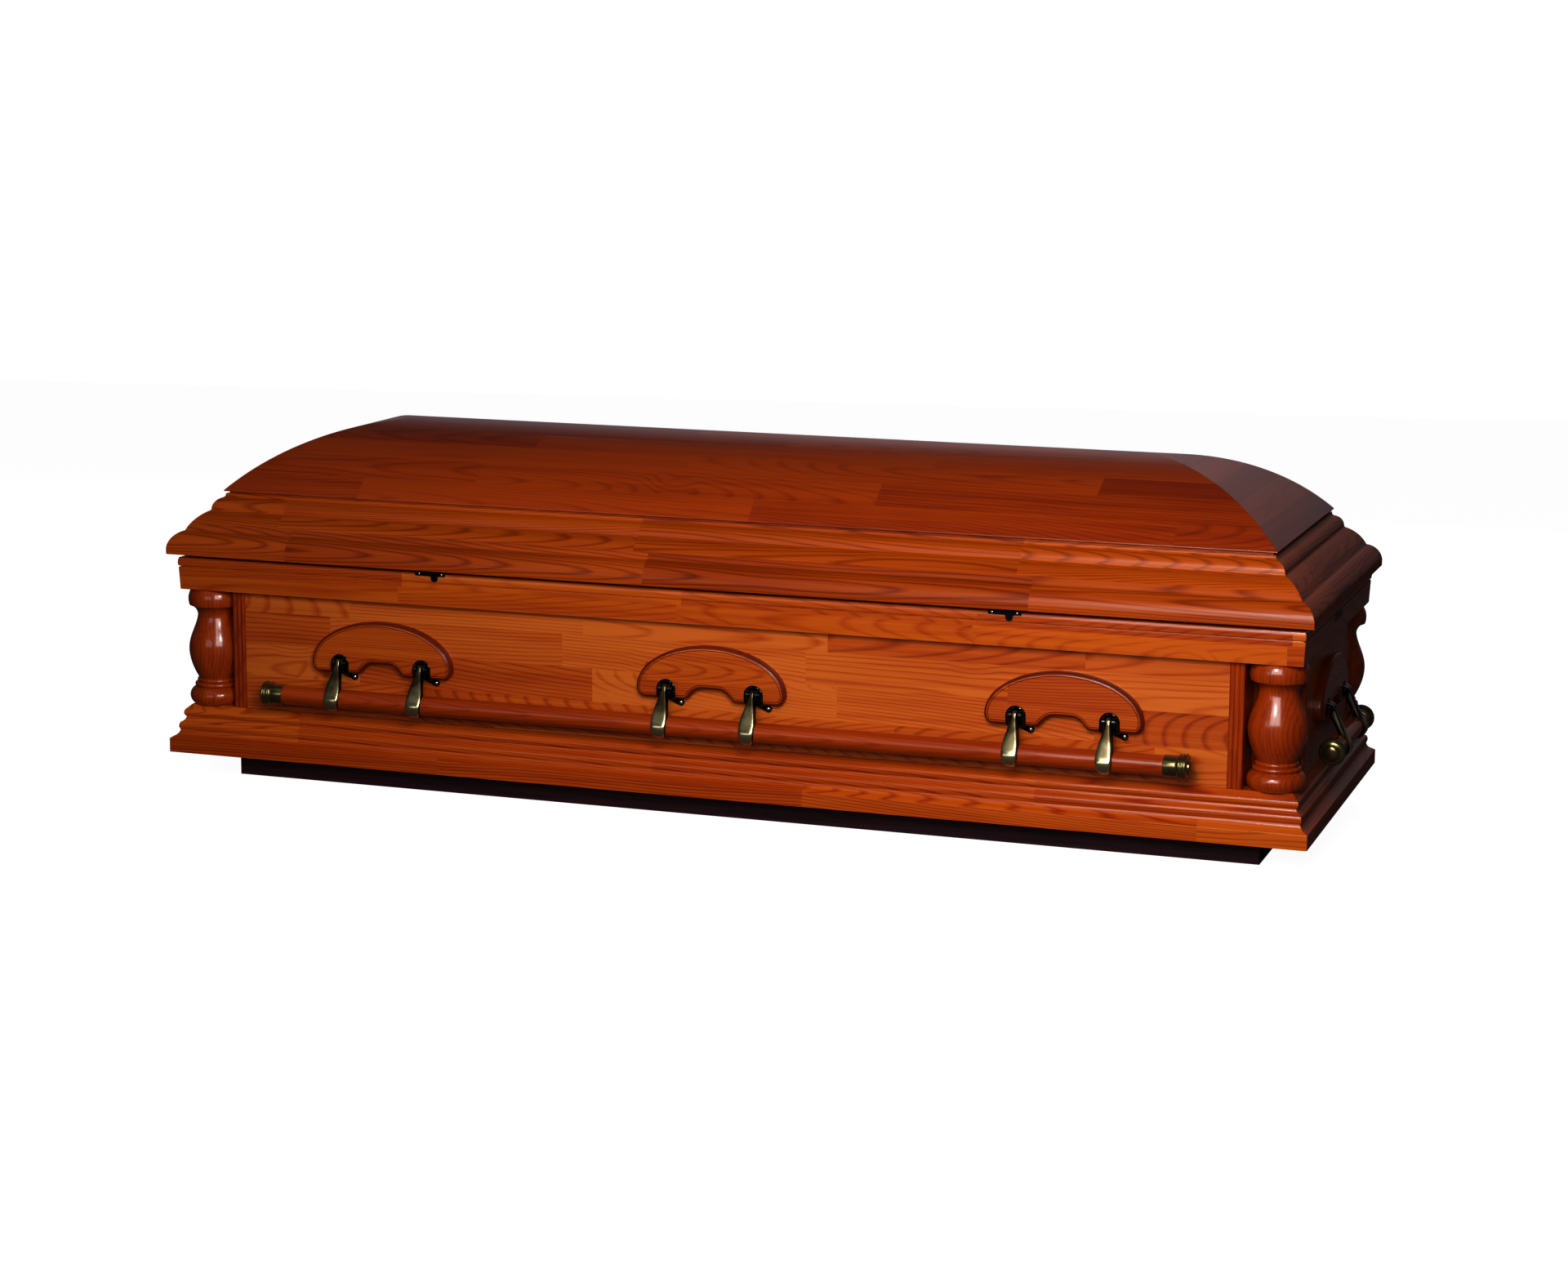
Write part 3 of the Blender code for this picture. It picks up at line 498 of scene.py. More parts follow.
def start_edit(piece: Piece, select: Callable[[bpy.types.MeshPolygon], bool] | None = None) -> None:
    """Open a piece in edit mode with some of its faces selected.

    Args:
        piece: the object to shape.
        select: tells which faces to select; without it, all are.
    """
    only(piece)
    bpy.ops.object.mode_set(mode="EDIT")
    bpy.ops.mesh.select_mode(type="FACE")
    bpy.ops.mesh.select_all(action="DESELECT" if select else "SELECT")
    if select:
        bpy.ops.object.mode_set(mode="OBJECT")
        for face in piece.data.polygons:
            face.select = select(face)
        bpy.ops.object.mode_set(mode="EDIT")


def end_edit(piece: Piece) -> Piece:
    """Turn all normals outwards and go back to object mode.

    Args:
        piece: the object in edit mode.

    Returns:
        The same object.
    """
    bpy.ops.mesh.select_all(action="SELECT")
    bpy.ops.mesh.normals_make_consistent(inside=False)
    bpy.ops.object.mode_set(mode="OBJECT")
    return piece


def settle(piece: Piece, place: Matrix | None = None) -> Piece:
    """Move a piece to its place and put the move into its mesh.

    Args:
        piece: the object.
        place: where it goes, or None where its own place is only applied.

    Returns:
        The same object, unturned at the origin.
    """
    if place is not None:
        piece.matrix_world = place @ piece.matrix_world
    only(piece)
    bpy.ops.object.transform_apply(location=True, rotation=True, scale=True)
    return piece


def paint(piece: Piece, *finishes: Material) -> None:
    """Give a piece its finishes in place of any others.

    Args:
        piece: the object.
        finishes: its materials in order.
    """
    piece.data.materials.clear()
    for finish in finishes:
        piece.data.materials.append(finish)


def smooth(piece: Piece, angle: float | None = None) -> Piece:
    """Shade a piece smooth.

    Args:
        piece: the object.
        angle: edges that turn by more than this, in degrees, stay sharp; without it, none does.

    Returns:
        The same object.
    """
    only(piece)
    if angle is None:
        bpy.ops.object.shade_smooth()
    else:
        bpy.ops.object.shade_smooth_by_angle(angle=math.radians(angle))
    return piece


def with_modifier(piece: Piece, kind: str, **settings: object) -> Piece:
    """Add a modifier to a piece and apply it.

    Args:
        piece: the object.
        kind: the modifier's type.
        settings: properties of the modifier.

    Returns:
        The same object.
    """
    only(piece)
    bpy.ops.object.modifier_add(type=kind)
    step = piece.modifiers[-1]
    for name, value in settings.items():
        setattr(step, name, value)
    bpy.ops.object.modifier_apply(modifier=step.name)
    return piece


def ease(piece: Piece, width: float = 0.8 * MM, angle: float = 32.0) -> Piece:
    """Ease the sharp arrises as sanding and lacquer do, and shade the piece smooth between them.

    Args:
        piece: the object.
        width: width of the eased edge.
        angle: edges that turn by more than this, in degrees, are eased.

    Returns:
        The same object.
    """
    margin = 8.0
    with_modifier(piece, "BEVEL", width=width, segments=2, limit_method="ANGLE",
                  angle_limit=math.radians(angle))
    return with_modifier(smooth(piece, angle + margin), "WEIGHTED_NORMAL", keep_sharp=True)


def cut(piece: Piece, tool: Piece, operation: str = "DIFFERENCE") -> None:
    """Cut a piece with a tool, or join them where the operation says so, and remove the tool."""
    with_modifier(piece, "BOOLEAN", operation=operation, solver="EXACT", object=tool)
    bpy.data.objects.remove(tool, do_unlink=True)


def disc(name: str, sides: int, radius: float = 1.0, height: float = 0.0) -> Piece:
    """Make a filled circle round Z.

    Args:
        name: the piece's name.
        sides: how many sides it has.
        radius: its radius.
        height: its height over the ground.

    Returns:
        The new object.
    """
    bpy.ops.object.select_all(action="DESELECT")
    bpy.ops.mesh.primitive_circle_add(vertices=sides, radius=radius, fill_type="NGON",
                                      location=(0.0, 0.0, height))
    piece = bpy.context.object
    piece.name = name
    return piece


def extrude(push: Sequence[float]) -> None:
    """Extrude what is selected and move it."""
    bpy.ops.mesh.extrude_region_move(TRANSFORM_OT_translate={"value": push})


def drawn_plate(name: str, outline: Sequence[Point], plane: Matrix, thickness: float) -> Piece:
    """Shape a filled circle to an outline and extrude it.

    Args:
        name: the piece's name.
        outline: points of the outline in order, in the plane.
        plane: where the plane's X, Y and Z go.
        thickness: how far it is extruded along the plane's Z.

    Returns:
        The new object.
    """
    piece = disc(name, len(outline))
    for vertex, (along, up) in zip(piece.data.vertices, outline):
        vertex.co = plane @ Vector((along, up, 0.0))
    start_edit(piece)
    extrude(plane.to_3x3() @ Vector((0.0, 0.0, thickness)))
    return end_edit(piece)


def turned(name: str, profile: Sequence[Point], sides: int = 48) -> Piece:
    """Turn a shape round Z: a disc whose top is extruded and resized from one level to the next.

    Args:
        name: the piece's name.
        profile: (radius, height) from the foot to the head.
        sides: how many sides the turning has.

    Returns:
        The new object.
    """
    radius, height = profile[0]
    piece = settle(disc(name, sides, radius, height))
    start_edit(piece)
    for wider, upper in profile[1:]:
        extrude((0.0, 0.0, upper - height))
        grow = wider / radius
        bpy.ops.transform.resize(value=(grow, grow, 1.0), center_override=(0.0, 0.0, upper))
        radius, height = wider, upper
    return end_edit(piece)


def joined(name: str, pieces: Sequence[Piece]) -> Piece:
    """Join objects into one that keeps their materials.

    Args:
        name: the name of the result.
        pieces: the objects; the first one stays.

    Returns:
        The first object, now with all the others in it.
    """
    only(pieces[0])
    for piece in pieces[1:]:
        piece.select_set(True)
    bpy.ops.object.join()
    pieces[0].name = name
    return pieces[0]


def copy_to(model: Piece, name: str, place: Matrix) -> Piece:
    """Copy a model with a mesh of its own and put its place into the mesh.

    Args:
        model: the object that is repeated.
        name: the copy's name.
        place: where the copy goes.

    Returns:
        The copy.
    """
    piece = model.copy()
    piece.data = model.data.copy()
    piece.name = name
    bpy.context.collection.objects.link(piece)
    piece.data.transform(place)
    return piece


def dress(piece: Piece, material: Material | None, body: str = "casket",
          nodes: Sequence[str] = ()) -> None:
    """Give a piece its finish, the body that carries it and the nodes that it stands for.

    Args:
        piece: the object.
        material: its finish, or None where it keeps the materials that it has.
        body: the body that it rides on.
        nodes: the frame's nodes that it replaces.
    """
    if material is not None:
        paint(piece, material)
    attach(piece, body)
    if nodes:
        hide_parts(*nodes)
    LOG.info("%s: %d faces, on %s", piece.name, len(piece.data.polygons), body)


def arc(start: Point, end: Point, bulge: float, steps: int = 12) -> list[Point]:
    """Give the points of an arc that bows outwards.

    Args:
        start: where it starts; this point is left out.
        end: where it ends.
        bulge: the height of the bow as a share of the chord.
        steps: how many points it has.

    Returns:
        The points after the start, up to the end.
    """
    first, last = Vector(start), Vector(end)
    chord = last - first
    along = chord.normalized()
    out = Vector((along.y, -along.x))
    half = 2 * math.atan(2 * bulge)
    radius = chord.length / (2 * math.sin(half))
    centre = (first + last) / 2 - out * radius * math.cos(half)
    turns = [half * (2 * step / steps - 1) for step in range(1, steps + 1)]
    return [tuple(centre + radius * (out * math.cos(turn) + along * math.sin(turn))) for turn in turns]


def oval(centre: Sequence[float], radii: Point, start: float, end: float, steps: int) -> list[Point]:
    """Give points of an ellipse.

    Args:
        centre: its middle.
        radii: its half width and half height.
        start: the first angle from the right, in quarter turns.
        end: the last angle.
        steps: how many steps lead from one to the other.

    Returns:
        The points, with both ends.
    """
    turns = [QUARTER * (start + (end - start) * step / steps) for step in range(steps + 1)]
    return [(centre[0] + radii[0] * math.cos(turn), centre[1] + radii[1] * math.sin(turn)) for turn in turns]


def quarter_round(radius: float, steps: int) -> list[Point]:
    """Give the steps of a quarter round, each as how far it goes in and how far out."""
    ends = oval((0.0, 0.0), (radius, radius), 0, 1, steps)
    return [(first[0] - last[0], last[1] - first[1]) for first, last in zip(ends, ends[1:])]


def round_front(piece: Piece, insets: Sequence[Point]) -> None:
    """Inset the face of a piece that looks to the front, step by step.

    Args:
        piece: the object.
        insets: how far each step goes in and how far out.
    """
    start_edit(piece, lambda face: face.normal.y < -0.9)
    for inward, outward in insets:
        bpy.ops.mesh.inset(thickness=inward, depth=outward, use_even_offset=True)
    end_edit(piece)


def facing(along: float, back: float, up: float) -> Matrix:
    """Give the upright plane that faces the front: X runs along, Y up and Z out of it."""
    return Matrix(((1, 0, 0, along), (0, 0, -1, back), (0, 1, 0, up), (0, 0, 0, 1)))


def crossing(start: float, back: float, up: float) -> Matrix:
    """Give the upright plane across a side: X runs outwards, Y up and Z along the side."""
    return Matrix(((0, 0, 1, start), (-1, 0, 0, back), (0, 1, 0, up), (0, 0, 0, 1)))


class Moulding:
    """A section that runs round the casket in four lengths, mitred at the corners."""

    node = ""
    edge = 0.8 * MM
    waste = 20 * MM

    def outline(self) -> list[Point]:
        """Give the section as (outset, height) points."""
        raise NotImplementedError

    def length(self, side: Side) -> Piece:
        """Shape one mitred length in its place.

        Args:
            side: the side that it lies on.

        Returns:
            The length.
        """
        reach = side.half_run + self.waste
        piece = drawn_plate(f"{self.node}_{side.word}", self.outline(), crossing(-reach, 0, 0), 2 * reach)
        start_edit(piece)
        for end in (-1, 1):
            bpy.ops.mesh.select_all(action="SELECT")
            corner = (end * (side.half_run - SEAT_GAP / 2), 0.0, 0.0)
            bpy.ops.mesh.bisect(plane_co=corner, plane_no=(end, 1.0, 0.0), use_fill=True, clear_outer=True)
        return ease(settle(end_edit(piece), side.place()), self.edge)

    def build(self, woods: Woods) -> None:
        """Make the four lengths in the wood of the long sides and of the ends."""
        for side in Side:
            dress(self.length(side), woods[side.is_long], nodes=self.nodes(side))

    def nodes(self, side: Side) -> list[str]:
        """Give the nodes that the length on one side stands for."""
        return [self.node]


@dataclass
class BaseMoulding(Moulding):
    """The moulded base: a flat band, a cove, a bead, a ledge and a roll under the walls."""

    node = "base_moulding"
    outset: float = 1.5 * MM
    band: float = 26 * MM
    lip: float = 4 * MM
    cove_in: float = 15.2 * MM
    cove_rise: float = 15 * MM
    cove_bulge: float = -0.14
    bead_rise: float = 14 * MM
    bead_bulge: float = 0.16
    ledge_in: float = 8.5 * MM
    ledge_rise: float = 10 * MM
    ledge_bulge: float = -0.12
    roll_rise: float = 15 * MM
    roll_bulge: float = 0.24
    ramp: float = 3 * MM
    table: float = 26 * MM
    skirt: float = 28 * MM
    inner: float = 143.7 * MM

    def outline(self) -> list[Point]:
        """Draw the section.

        Returns:
            Its (outset, height) points.
        """
        band_top = FOOT_Z + self.band
        cove_top = (self.outset - self.cove_in, band_top + self.cove_rise)
        bead_top = (cove_top[0], cove_top[1] + self.bead_rise)
        ledge = (bead_top[0] - self.ledge_in, bead_top[1] + self.ledge_rise)
        roll_top = (ledge[0], ledge[1] + self.roll_rise)
        points = [(self.outset, FOOT_Z), (self.outset, band_top)]
        points += arc((self.outset - self.lip, band_top + self.lip * 0.75), cove_top, self.cove_bulge)
        points += arc(cove_top, bead_top, self.bead_bulge)
        points += arc((bead_top[0] - self.lip / 2, bead_top[1] + self.lip / 4), ledge, self.ledge_bulge)
        points += arc(ledge, roll_top, self.roll_bulge)
        back, under = self.outset - self.skirt, SILL_Z - self.table
        points += [(self.ramp - PANEL_INSET, SILL_Z), (-self.inner, SILL_Z), (-self.inner, under)]
        return points + [(back, under), (back, FOOT_Z)]


@dataclass
class TopRail(Moulding):
    """The rail over the walls: a flat fascia, a fine groove and a rounded strip."""

    node = "top_rail"
    outset: float = RAIL_OUTSET
    fascia: float = 42 * MM
    batter: float = 2 * MM
    groove_depth: float = 3 * MM
    groove: float = 2 * MM
    bulge: float = 0.10
    taper: float = 1 * MM

    def outline(self) -> list[Point]:
        """Draw the section.

        Returns:
            Its (outset, height) points.
        """
        top = HEAD_Z + self.fascia
        deep = self.outset - self.groove_depth
        strip = (self.outset, top + self.groove)
        wall_top = top + SEAT_GAP
        points = [(self.outset - self.batter, HEAD_Z), (self.outset, top), (deep, top), (deep, strip[1])]
        points += [strip] + arc(strip, (self.outset - self.taper, RAIL_Z), self.bulge)
        points += [(-WALL_INSET, RAIL_Z), (-WALL_INSET, wall_top)]
        return points + [(PANEL_FACE, wall_top), (PANEL_FACE, HEAD_Z)]


@dataclass
class LidRim(Moulding):
    """The rim of the lid: three ovolo stages, a groove under the eave and a tongue on the rail.

    Each stage gives how far its ovolo goes in and up and how it bows, and then how far its fillet
    goes in and up.
    """

    node = "lid_rim"
    face: float = 11 * MM
    stages: tuple[tuple[float, float, float, float, float], ...] = (
        (22.0 * MM, 30 * MM, 0.14, 5.5 * MM, 4 * MM),
        (31.5 * MM, 31 * MM, 0.08, 3.5 * MM, 4 * MM),
        (16.5 * MM, 20 * MM, 0.17, 3.0 * MM, 7 * MM),
    )
    fillet_bulge: float = -0.18
    groove_depth: float = 6 * MM
    stock: float = 30 * MM
    tongue: float = 30 * MM

    def outline(self) -> list[Point]:
        """Draw the section.

        Returns:
            Its (outset, height) points.
        """
        outset, height = 0.0, LID_Z + self.face
        points = [(0.0, LID_Z), (outset, height)]
        for inwards, upwards, bulge, fillet_in, fillet_up in self.stages:
            crest = (outset - inwards, height + upwards)
            points += arc((outset, height), crest, bulge)
            outset, height = crest[0] - fillet_in, crest[1] + fillet_up
            points += arc(crest, (outset, height), self.fillet_bulge, 5)
        deep = outset - self.groove_depth
        points += [(deep, height), (deep, EAVE_Z)]
        inner_top, shoulder = deep - self.stock / 2, height - self.stock / 2
        foot = RAIL_Z + SEAT_GAP
        points += [(inner_top, EAVE_Z), (inner_top, shoulder)]
        points += [(-WALL_INSET, shoulder + WALL_INSET + inner_top), (-WALL_INSET, foot)]
        return points + [(-self.tongue, foot), (-self.tongue, LID_Z)]


@dataclass
class Dome(Moulding):
    """The dome of the lid: four curved shells that meet at the hips and at the ridge."""

    node = "crown"
    eave_inset: float = 80 * MM
    lip: float = 2 * MM
    radius: float = 383 * MM
    shell: float = 15 * MM
    steps: int = 26

    def outline(self) -> list[Point]:
        """Draw the section.

        Returns:
            Its (outset, height) points.
        """
        foot = EAVE_Z + SEAT_GAP
        eave = HALF_WIDTH - self.eave_inset
        centre = foot + self.lip - math.sqrt(self.radius ** 2 - eave ** 2)
        inner = self.radius - self.shell
        faces = ((self.radius, math.asin(eave / self.radius), range(self.steps, -1, -1)),
                 (inner, math.acos((foot - centre) / inner), range(self.steps + 1)))
        points = [(-self.eave_inset, foot)]
        for radius, full, order in faces:
            for step in order:
                reach = max(radius * math.sin(full * step / self.steps), SEAT_GAP)
                points.append((reach - HALF_WIDTH, centre + math.sqrt(radius ** 2 - reach ** 2)))
        return points

    def nodes(self, side: Side) -> list[str]:
        """Give the nodes that the shell on one side stands for."""
        return [f"crown_{side.word}" if side.is_long else f"crown_{side.word}_end"]


@dataclass
class CornerPost:
    """An upright with reeded edges in each corner, and the recess that the column stands in."""

    face_inset: float = 31 * MM
    leg: float = 25.5 * MM
    inset: float = 118.2 * MM
    reeds: int = 3
    depth: float = 2.8 * MM
    steps: int = 10
    edge: float = 0.5 * MM

    def outline(self) -> list[Point]:
        """Draw the plan of a post.

        Returns:
            Its points, as distances from the casket's corner.
        """
        reed = self.leg / self.reeds
        front = []
        for index in range(self.reeds):
            for step in range(self.steps):
                share = step / self.steps
                rise = math.sqrt(math.sin(share * math.pi))
                front.append((self.inset + (index + share) * reed, self.face_inset + self.depth * (1 - rise)))
        inner = self.inset + self.leg
        front.append((inner, self.face_inset + self.depth))
        side = [(across, along) for along, across in reversed(front)]
        return front + [(inner, inner)] + side + [(self.inset, self.inset)]

    def build(self, wood: Material) -> None:
        """Make the four posts, each with the block that fills the corner behind the rail.

        Args:
            wood: their wood.
        """
        foot, head = SILL_Z + SEAT_GAP, HEAD_Z - SEAT_GAP
        near, far = PANEL_INSET + 2 * SEAT_GAP, self.inset + self.leg
        square = [(near, near), (far, near), (far, far), (near, far)]
        for across, sy in (("front", -1), ("back", 1)):
            for along, sx in (("left", -1), ("right", 1)):
                name = f"post_{across}_{along}"
                plan, top = ([(sx * (HALF_LENGTH - x), sy * (HALF_WIDTH - y)) for x, y in points]
                             for points in (self.outline(), square))
                post = drawn_plate(name, plan, Matrix.Translation((0.0, 0.0, foot)), HEAD_Z - foot)
                block = drawn_plate("block", top, Matrix.Translation((0.0, 0.0, head)), high(name).z - head)
                cut(post, block, "UNION")
                dress(ease(post, self.edge, 50.0), wood, nodes=[name])


@dataclass
class CornerColumn:
    """A turned baluster in each corner: a torus foot, two beads, a full belly, a neck and a cap."""

    torus_radius: float = 51 * MM
    torus: float = 32 * MM
    torus_edge: float = 43 * MM
    bead_radii: Point = (42 * MM, 37.5 * MM)
    bead: float = 8 * MM
    bead_depth: float = 3 * MM
    bead_bulge: float = 0.36
    neck: float = 33.8 * MM
    belly: float = 51.2 * MM
    belly_lower: float = 55 * MM
    belly_upper: float = 65 * MM
    flare: float = 18 * MM
    flare_bulge: float = -0.16
    cap_radius: float = 51 * MM
    cap: float = 32 * MM
    cap_edge: float = 44 * MM
    cap_bulge: float = 0.12
    steps: int = 14

    def profile(self) -> list[Point]:
        """Draw the column's profile.

        Returns:
            Radius and height from the foot to the head.
        """
        waist = self.bead_radii[0] - self.bead_depth
        chord = math.hypot(self.torus, self.torus_edge - waist)
        bulge = (self.torus_radius - (self.torus_edge + waist) / 2) / chord
        points = [(self.torus_edge, 0.0)] + arc((self.torus_edge, 0.0), (waist, self.torus), bulge, 16)
        height = self.torus
        for radius in self.bead_radii:
            inner = radius - self.bead_depth
            points += arc((inner, height + 0.2 * MM), (inner, height + self.bead), self.bead_bulge, 8)
            height += self.bead
        swell = self.belly - self.neck
        for rise, power, lower in ((self.belly_lower, 0.9, True), (self.belly_upper, 1.6, False)):
            for step in range(self.steps + 1):
                share = step / self.steps
                swing = (1 - share if lower else share) * QUARTER
                radius = self.neck + swell * max(math.cos(swing), 0.0) ** power
                points.append((radius, height + rise * share + (0.0 if lower or step else 0.05 * MM)))
            height += rise
        flare_top = (self.cap_radius - 2 * MM, height + self.flare)
        points += arc((self.neck, height), flare_top, self.flare_bulge, 8)
        return points + arc(flare_top, (self.cap_edge, flare_top[1] + self.cap), self.cap_bulge, 12)

    def build(self, wood: Material) -> None:
        """Turn one column and stand a copy in each corner.

        Args:
            wood: their wood.
        """
        model = smooth(turned("column_model", self.profile(), 64), 38.0)
        for place in ("front_left", "front_right", "back_left", "back_right"):
            node = "column_" + place
            middle = (low(node) + high(node)) / 2
            spot = Matrix.Translation((middle.x, middle.y, low(node).z))
            dress(copy_to(model, node + "_turned", spot), wood, nodes=[node])
        bpy.data.objects.remove(model, do_unlink=True)


@dataclass
class HandlePlace:
    """Where a handle's parts lie, seen from the side that it hangs on."""

    bar_outset: float = 4 * MM
    bar_level: float = 127 * MM
    bar_radius: float = 17.75 * MM
    pivot_outset: float = -14 * MM
    pivot_level: float = 190 * MM
    lug_level: float = 171 * MM
    arm_spacing: float = 164 * MM

    @property
    def pivot_z(self) -> float:
        """Give the height of the pivots."""
        return FOOT_Z + self.pivot_level

    @property
    def lug_z(self) -> float:
        """Give the height of the lug plates' feet."""
        return FOOT_Z + self.lug_level

    @property
    def bar_out(self) -> float:
        """Give how far the bar's axis lies out from the pivots."""
        return self.bar_outset - self.pivot_outset

    @property
    def bar_up(self) -> float:
        """Give how far the bar's axis lies over the pivots; it is below zero."""
        return self.bar_level - self.pivot_level


@dataclass
class LugPlate:
    """A shaped wooden plate on the wall: arched top, round feet, an ogee arch and a rounded face."""

    at: HandlePlace
    width: float = 278 * MM
    height: float = 98 * MM
    thickness: float = 16 * MM
    round_over: float = 6.5 * MM
    quirk: float = 0.7 * MM
    corner: float = 12 * MM
    waist: float = 18 * MM
    arch_width: float = 93 * MM
    arch_rise: float = 21 * MM
    arch_fullness: float = 2.4
    notch: float = 18 * MM
    notch_drop: float = 2 * MM

    def outline(self) -> list[Point]:
        """Draw the front view.

        Returns:
            Its points, from the middle of the foot.
        """
        half = self.width / 2
        foot_half = half - self.corner
        right = [(foot_half * 0.985, 0.0)] + arc((foot_half, 0.0), (half, self.waist), 0.16, 8)
        right += oval((0.0, self.waist), (half, self.height - self.waist), 0, 1, 30)[1:-1]
        left = [(-x, z) for x, z in reversed(right)]
        arch = []
        for step in range(-12, 13):
            swing = math.pi * abs(step / 12) ** self.arch_fullness
            arch.append((self.arch_width / 2 * step / 12, self.arch_rise * (1 + math.cos(swing)) / 2))
        return right + [(0.0, self.height)] + left + arch

    def notch_outline(self, radius: float, foot: float) -> list[Point]:
        """Give the outline of a round-headed opening over a pivot, from its lower right.

        Args:
            radius: radius of its head and half its width.
            foot: height of its lower edge over the foot of the plate.

        Returns:
            The points.
        """
        spring = self.at.pivot_z - self.at.lug_z - self.notch_drop
        return [(radius, foot)] + oval((0.0, spring), (radius, radius), 0, 2, 24) + [(-radius, foot)]

    def plane(self, shift: float, outset: float) -> Matrix:
        """Give the plane that the plate is drawn in, so far along the side and out from the rim."""
        return facing(shift, -outset, self.at.lug_z)

    def model(self, woods: Sequence[Material]) -> Piece:
        """Shape one plate at the middle of the front.

        Args:
            woods: the wood of the face, and the darker one of the rounded edge, whose darkness is painted
                shade.

        Returns:
            The plate, with its two notches.
        """
        flat, groove = self.thickness - self.round_over, [(self.quirk, -self.quirk), (self.quirk, self.quirk)]
        plate = drawn_plate("lug_model", self.outline(), self.plane(0.0, PANEL_FACE), flat)
        paint(plate, *woods)
        round_front(plate, quarter_round(self.round_over, 6) + groove)
        opening = self.notch_outline(self.notch, -10 * MM)
        for side in (-1, 1):
            plane = self.plane(side * self.at.arm_spacing / 2, PANEL_FACE - 2 * MM)
            cut(plate, drawn_plate("notch", opening, plane, 2 * self.thickness))
        # Faces looking straight out take the face wood; the rounded edge and the rest take the darker wood,
        # which is painted shade.
        for face in plate.data.polygons:
            face.material_index = 0 if face.normal.y < -0.97 else 1
        return smooth(plate, 28.0)


@dataclass
class ScrewHead:
    """A domed screw head."""

    radius: float
    dome: float
    sunk: float
    tip: float
    steps: int
    sides: int

    def build(self, place: Matrix, plating: Material) -> Piece:
        """Turn the head, lay it so that it faces the front, and plate it.

        Args:
            place: where its foot goes.
            plating: its finish.

        Returns:
            The head.
        """
        dome = oval((0.0, 0.0), (self.radius, self.dome), 0, 1, self.steps)[:-1]
        head = turned("screw", [(self.radius, -self.sunk)] + dome + [(self.tip, self.dome)], self.sides)
        settle(head, place @ Matrix.Rotation(QUARTER, 4, "X"))
        paint(head, plating)
        return smooth(head)


@dataclass
class HingeBracket:
    """A black cast bracket: a hooded housing in the notch, and a tab with one screw beside it."""

    at: HandlePlace
    lug: LugPlate
    clearance: float = 0.8 * MM
    housing: float = 13.5 * MM
    hood_round: float = 4 * MM
    slot_width: float = 11.9 * MM
    slot_rise: float = 8 * MM
    slot_back: float = 3.5 * MM
    cheek: float = 5.5 * MM
    nose: float = 8.5 * MM
    pin: float = 3.2 * MM
    ear_reach: float = 24 * MM
    ear_radius: float = 6.2 * MM
    ear_level: float = 163.5 * MM
    ear_thickness: float = 3 * MM
    root_radius: float = 9 * MM
    screw_radius: float = 3.9 * MM

    def model(self, black: Material, bright: Material) -> Piece:
        """Shape one bracket over the middle of the front, with its pivot at X zero.

        Args:
            black: the enamel.
            bright: the plating of the screw.

        Returns:
            The bracket in one piece, with both finishes.
        """
        outline = self.lug.notch_outline(self.lug.notch - self.clearance, -3 * MM)
        hood = drawn_plate("hood", outline, self.lug.plane(0.0, PANEL_FACE), self.housing - self.hood_round)
        round_front(hood, quarter_round(self.hood_round, 5))
        half = self.slot_width / 2
        slot = [(-half, -20 * MM), (half, -20 * MM)]
        slot += oval((0.0, self.at.pivot_z - self.at.lug_z + self.slot_rise), (half, half), 0, 2, 8)
        cut(hood, drawn_plate("slot", slot, self.lug.plane(0.0, PANEL_FACE + self.slot_back), 30 * MM))
        parts = [hood, self._cheek(-half - self.cheek), self._cheek(half), self._foot(), self._pin(half)]
        for part in parts:
            paint(part, black)
            ease(part, 0.4 * MM, 38.0)
        spot = (self.ear_reach, -PANEL_FACE - self.ear_thickness, FOOT_Z + self.ear_level)
        head = ScrewHead(self.screw_radius, self.screw_radius * 0.72, 0.5 * MM, 0.3 * MM, 7, 20)
        return joined("bracket_model", parts + [head.build(Matrix.Translation(spot), bright)])

    def _pin(self, half: float) -> Piece:
        """Turn the pin through both cheeks.

        Args:
            half: half the width of the slot between them.

        Returns:
            The pin.
        """
        reach, chamfer = half + self.cheek + 1.2 * MM, 0.6 * MM
        ends = [(self.pin - chamfer, -reach), (self.pin, chamfer - reach)]
        pin = turned("pin", ends + [(radius, -along) for radius, along in reversed(ends)], 20)
        pivot = Matrix.Translation((0.0, -self.at.pivot_outset, self.at.pivot_z))
        return settle(pin, pivot @ Matrix.Rotation(QUARTER, 4, "Y"))

    def _cheek(self, start: float) -> Piece:
        """Shape one round-nosed cheek beside the arm.

        Args:
            start: where its left face lies.

        Returns:
            The cheek.
        """
        nose = oval((PANEL_INSET + self.at.pivot_outset, 0.0), (self.nose, self.nose), -1, 1, 14)
        outline = [(2 * MM, -15 * MM)] + nose + [(6 * MM, 12 * MM), (2 * MM, 13 * MM)]
        return drawn_plate("cheek", outline, crossing(start, PANEL_INSET, self.at.pivot_z), self.cheek)

    def _foot(self) -> Piece:
        """Shape the foot: a tab that runs from under the housing down to a round ear.

        Returns:
            The foot.
        """
        ear = Vector((self.ear_reach, FOOT_Z + self.ear_level - self.at.lug_z))
        root = Vector((5 * MM, ear.y + 11 * MM))
        lean = math.atan2(ear.y - root.y, ear.x - root.x) / QUARTER
        outline = oval(ear, (self.ear_radius, self.ear_radius), lean - 1, lean + 1, 12)
        outline += oval(root, (self.root_radius, self.root_radius), lean + 1, lean + 3, 12)
        return drawn_plate("foot", outline, self.lug.plane(0.0, PANEL_FACE), self.ear_thickness)


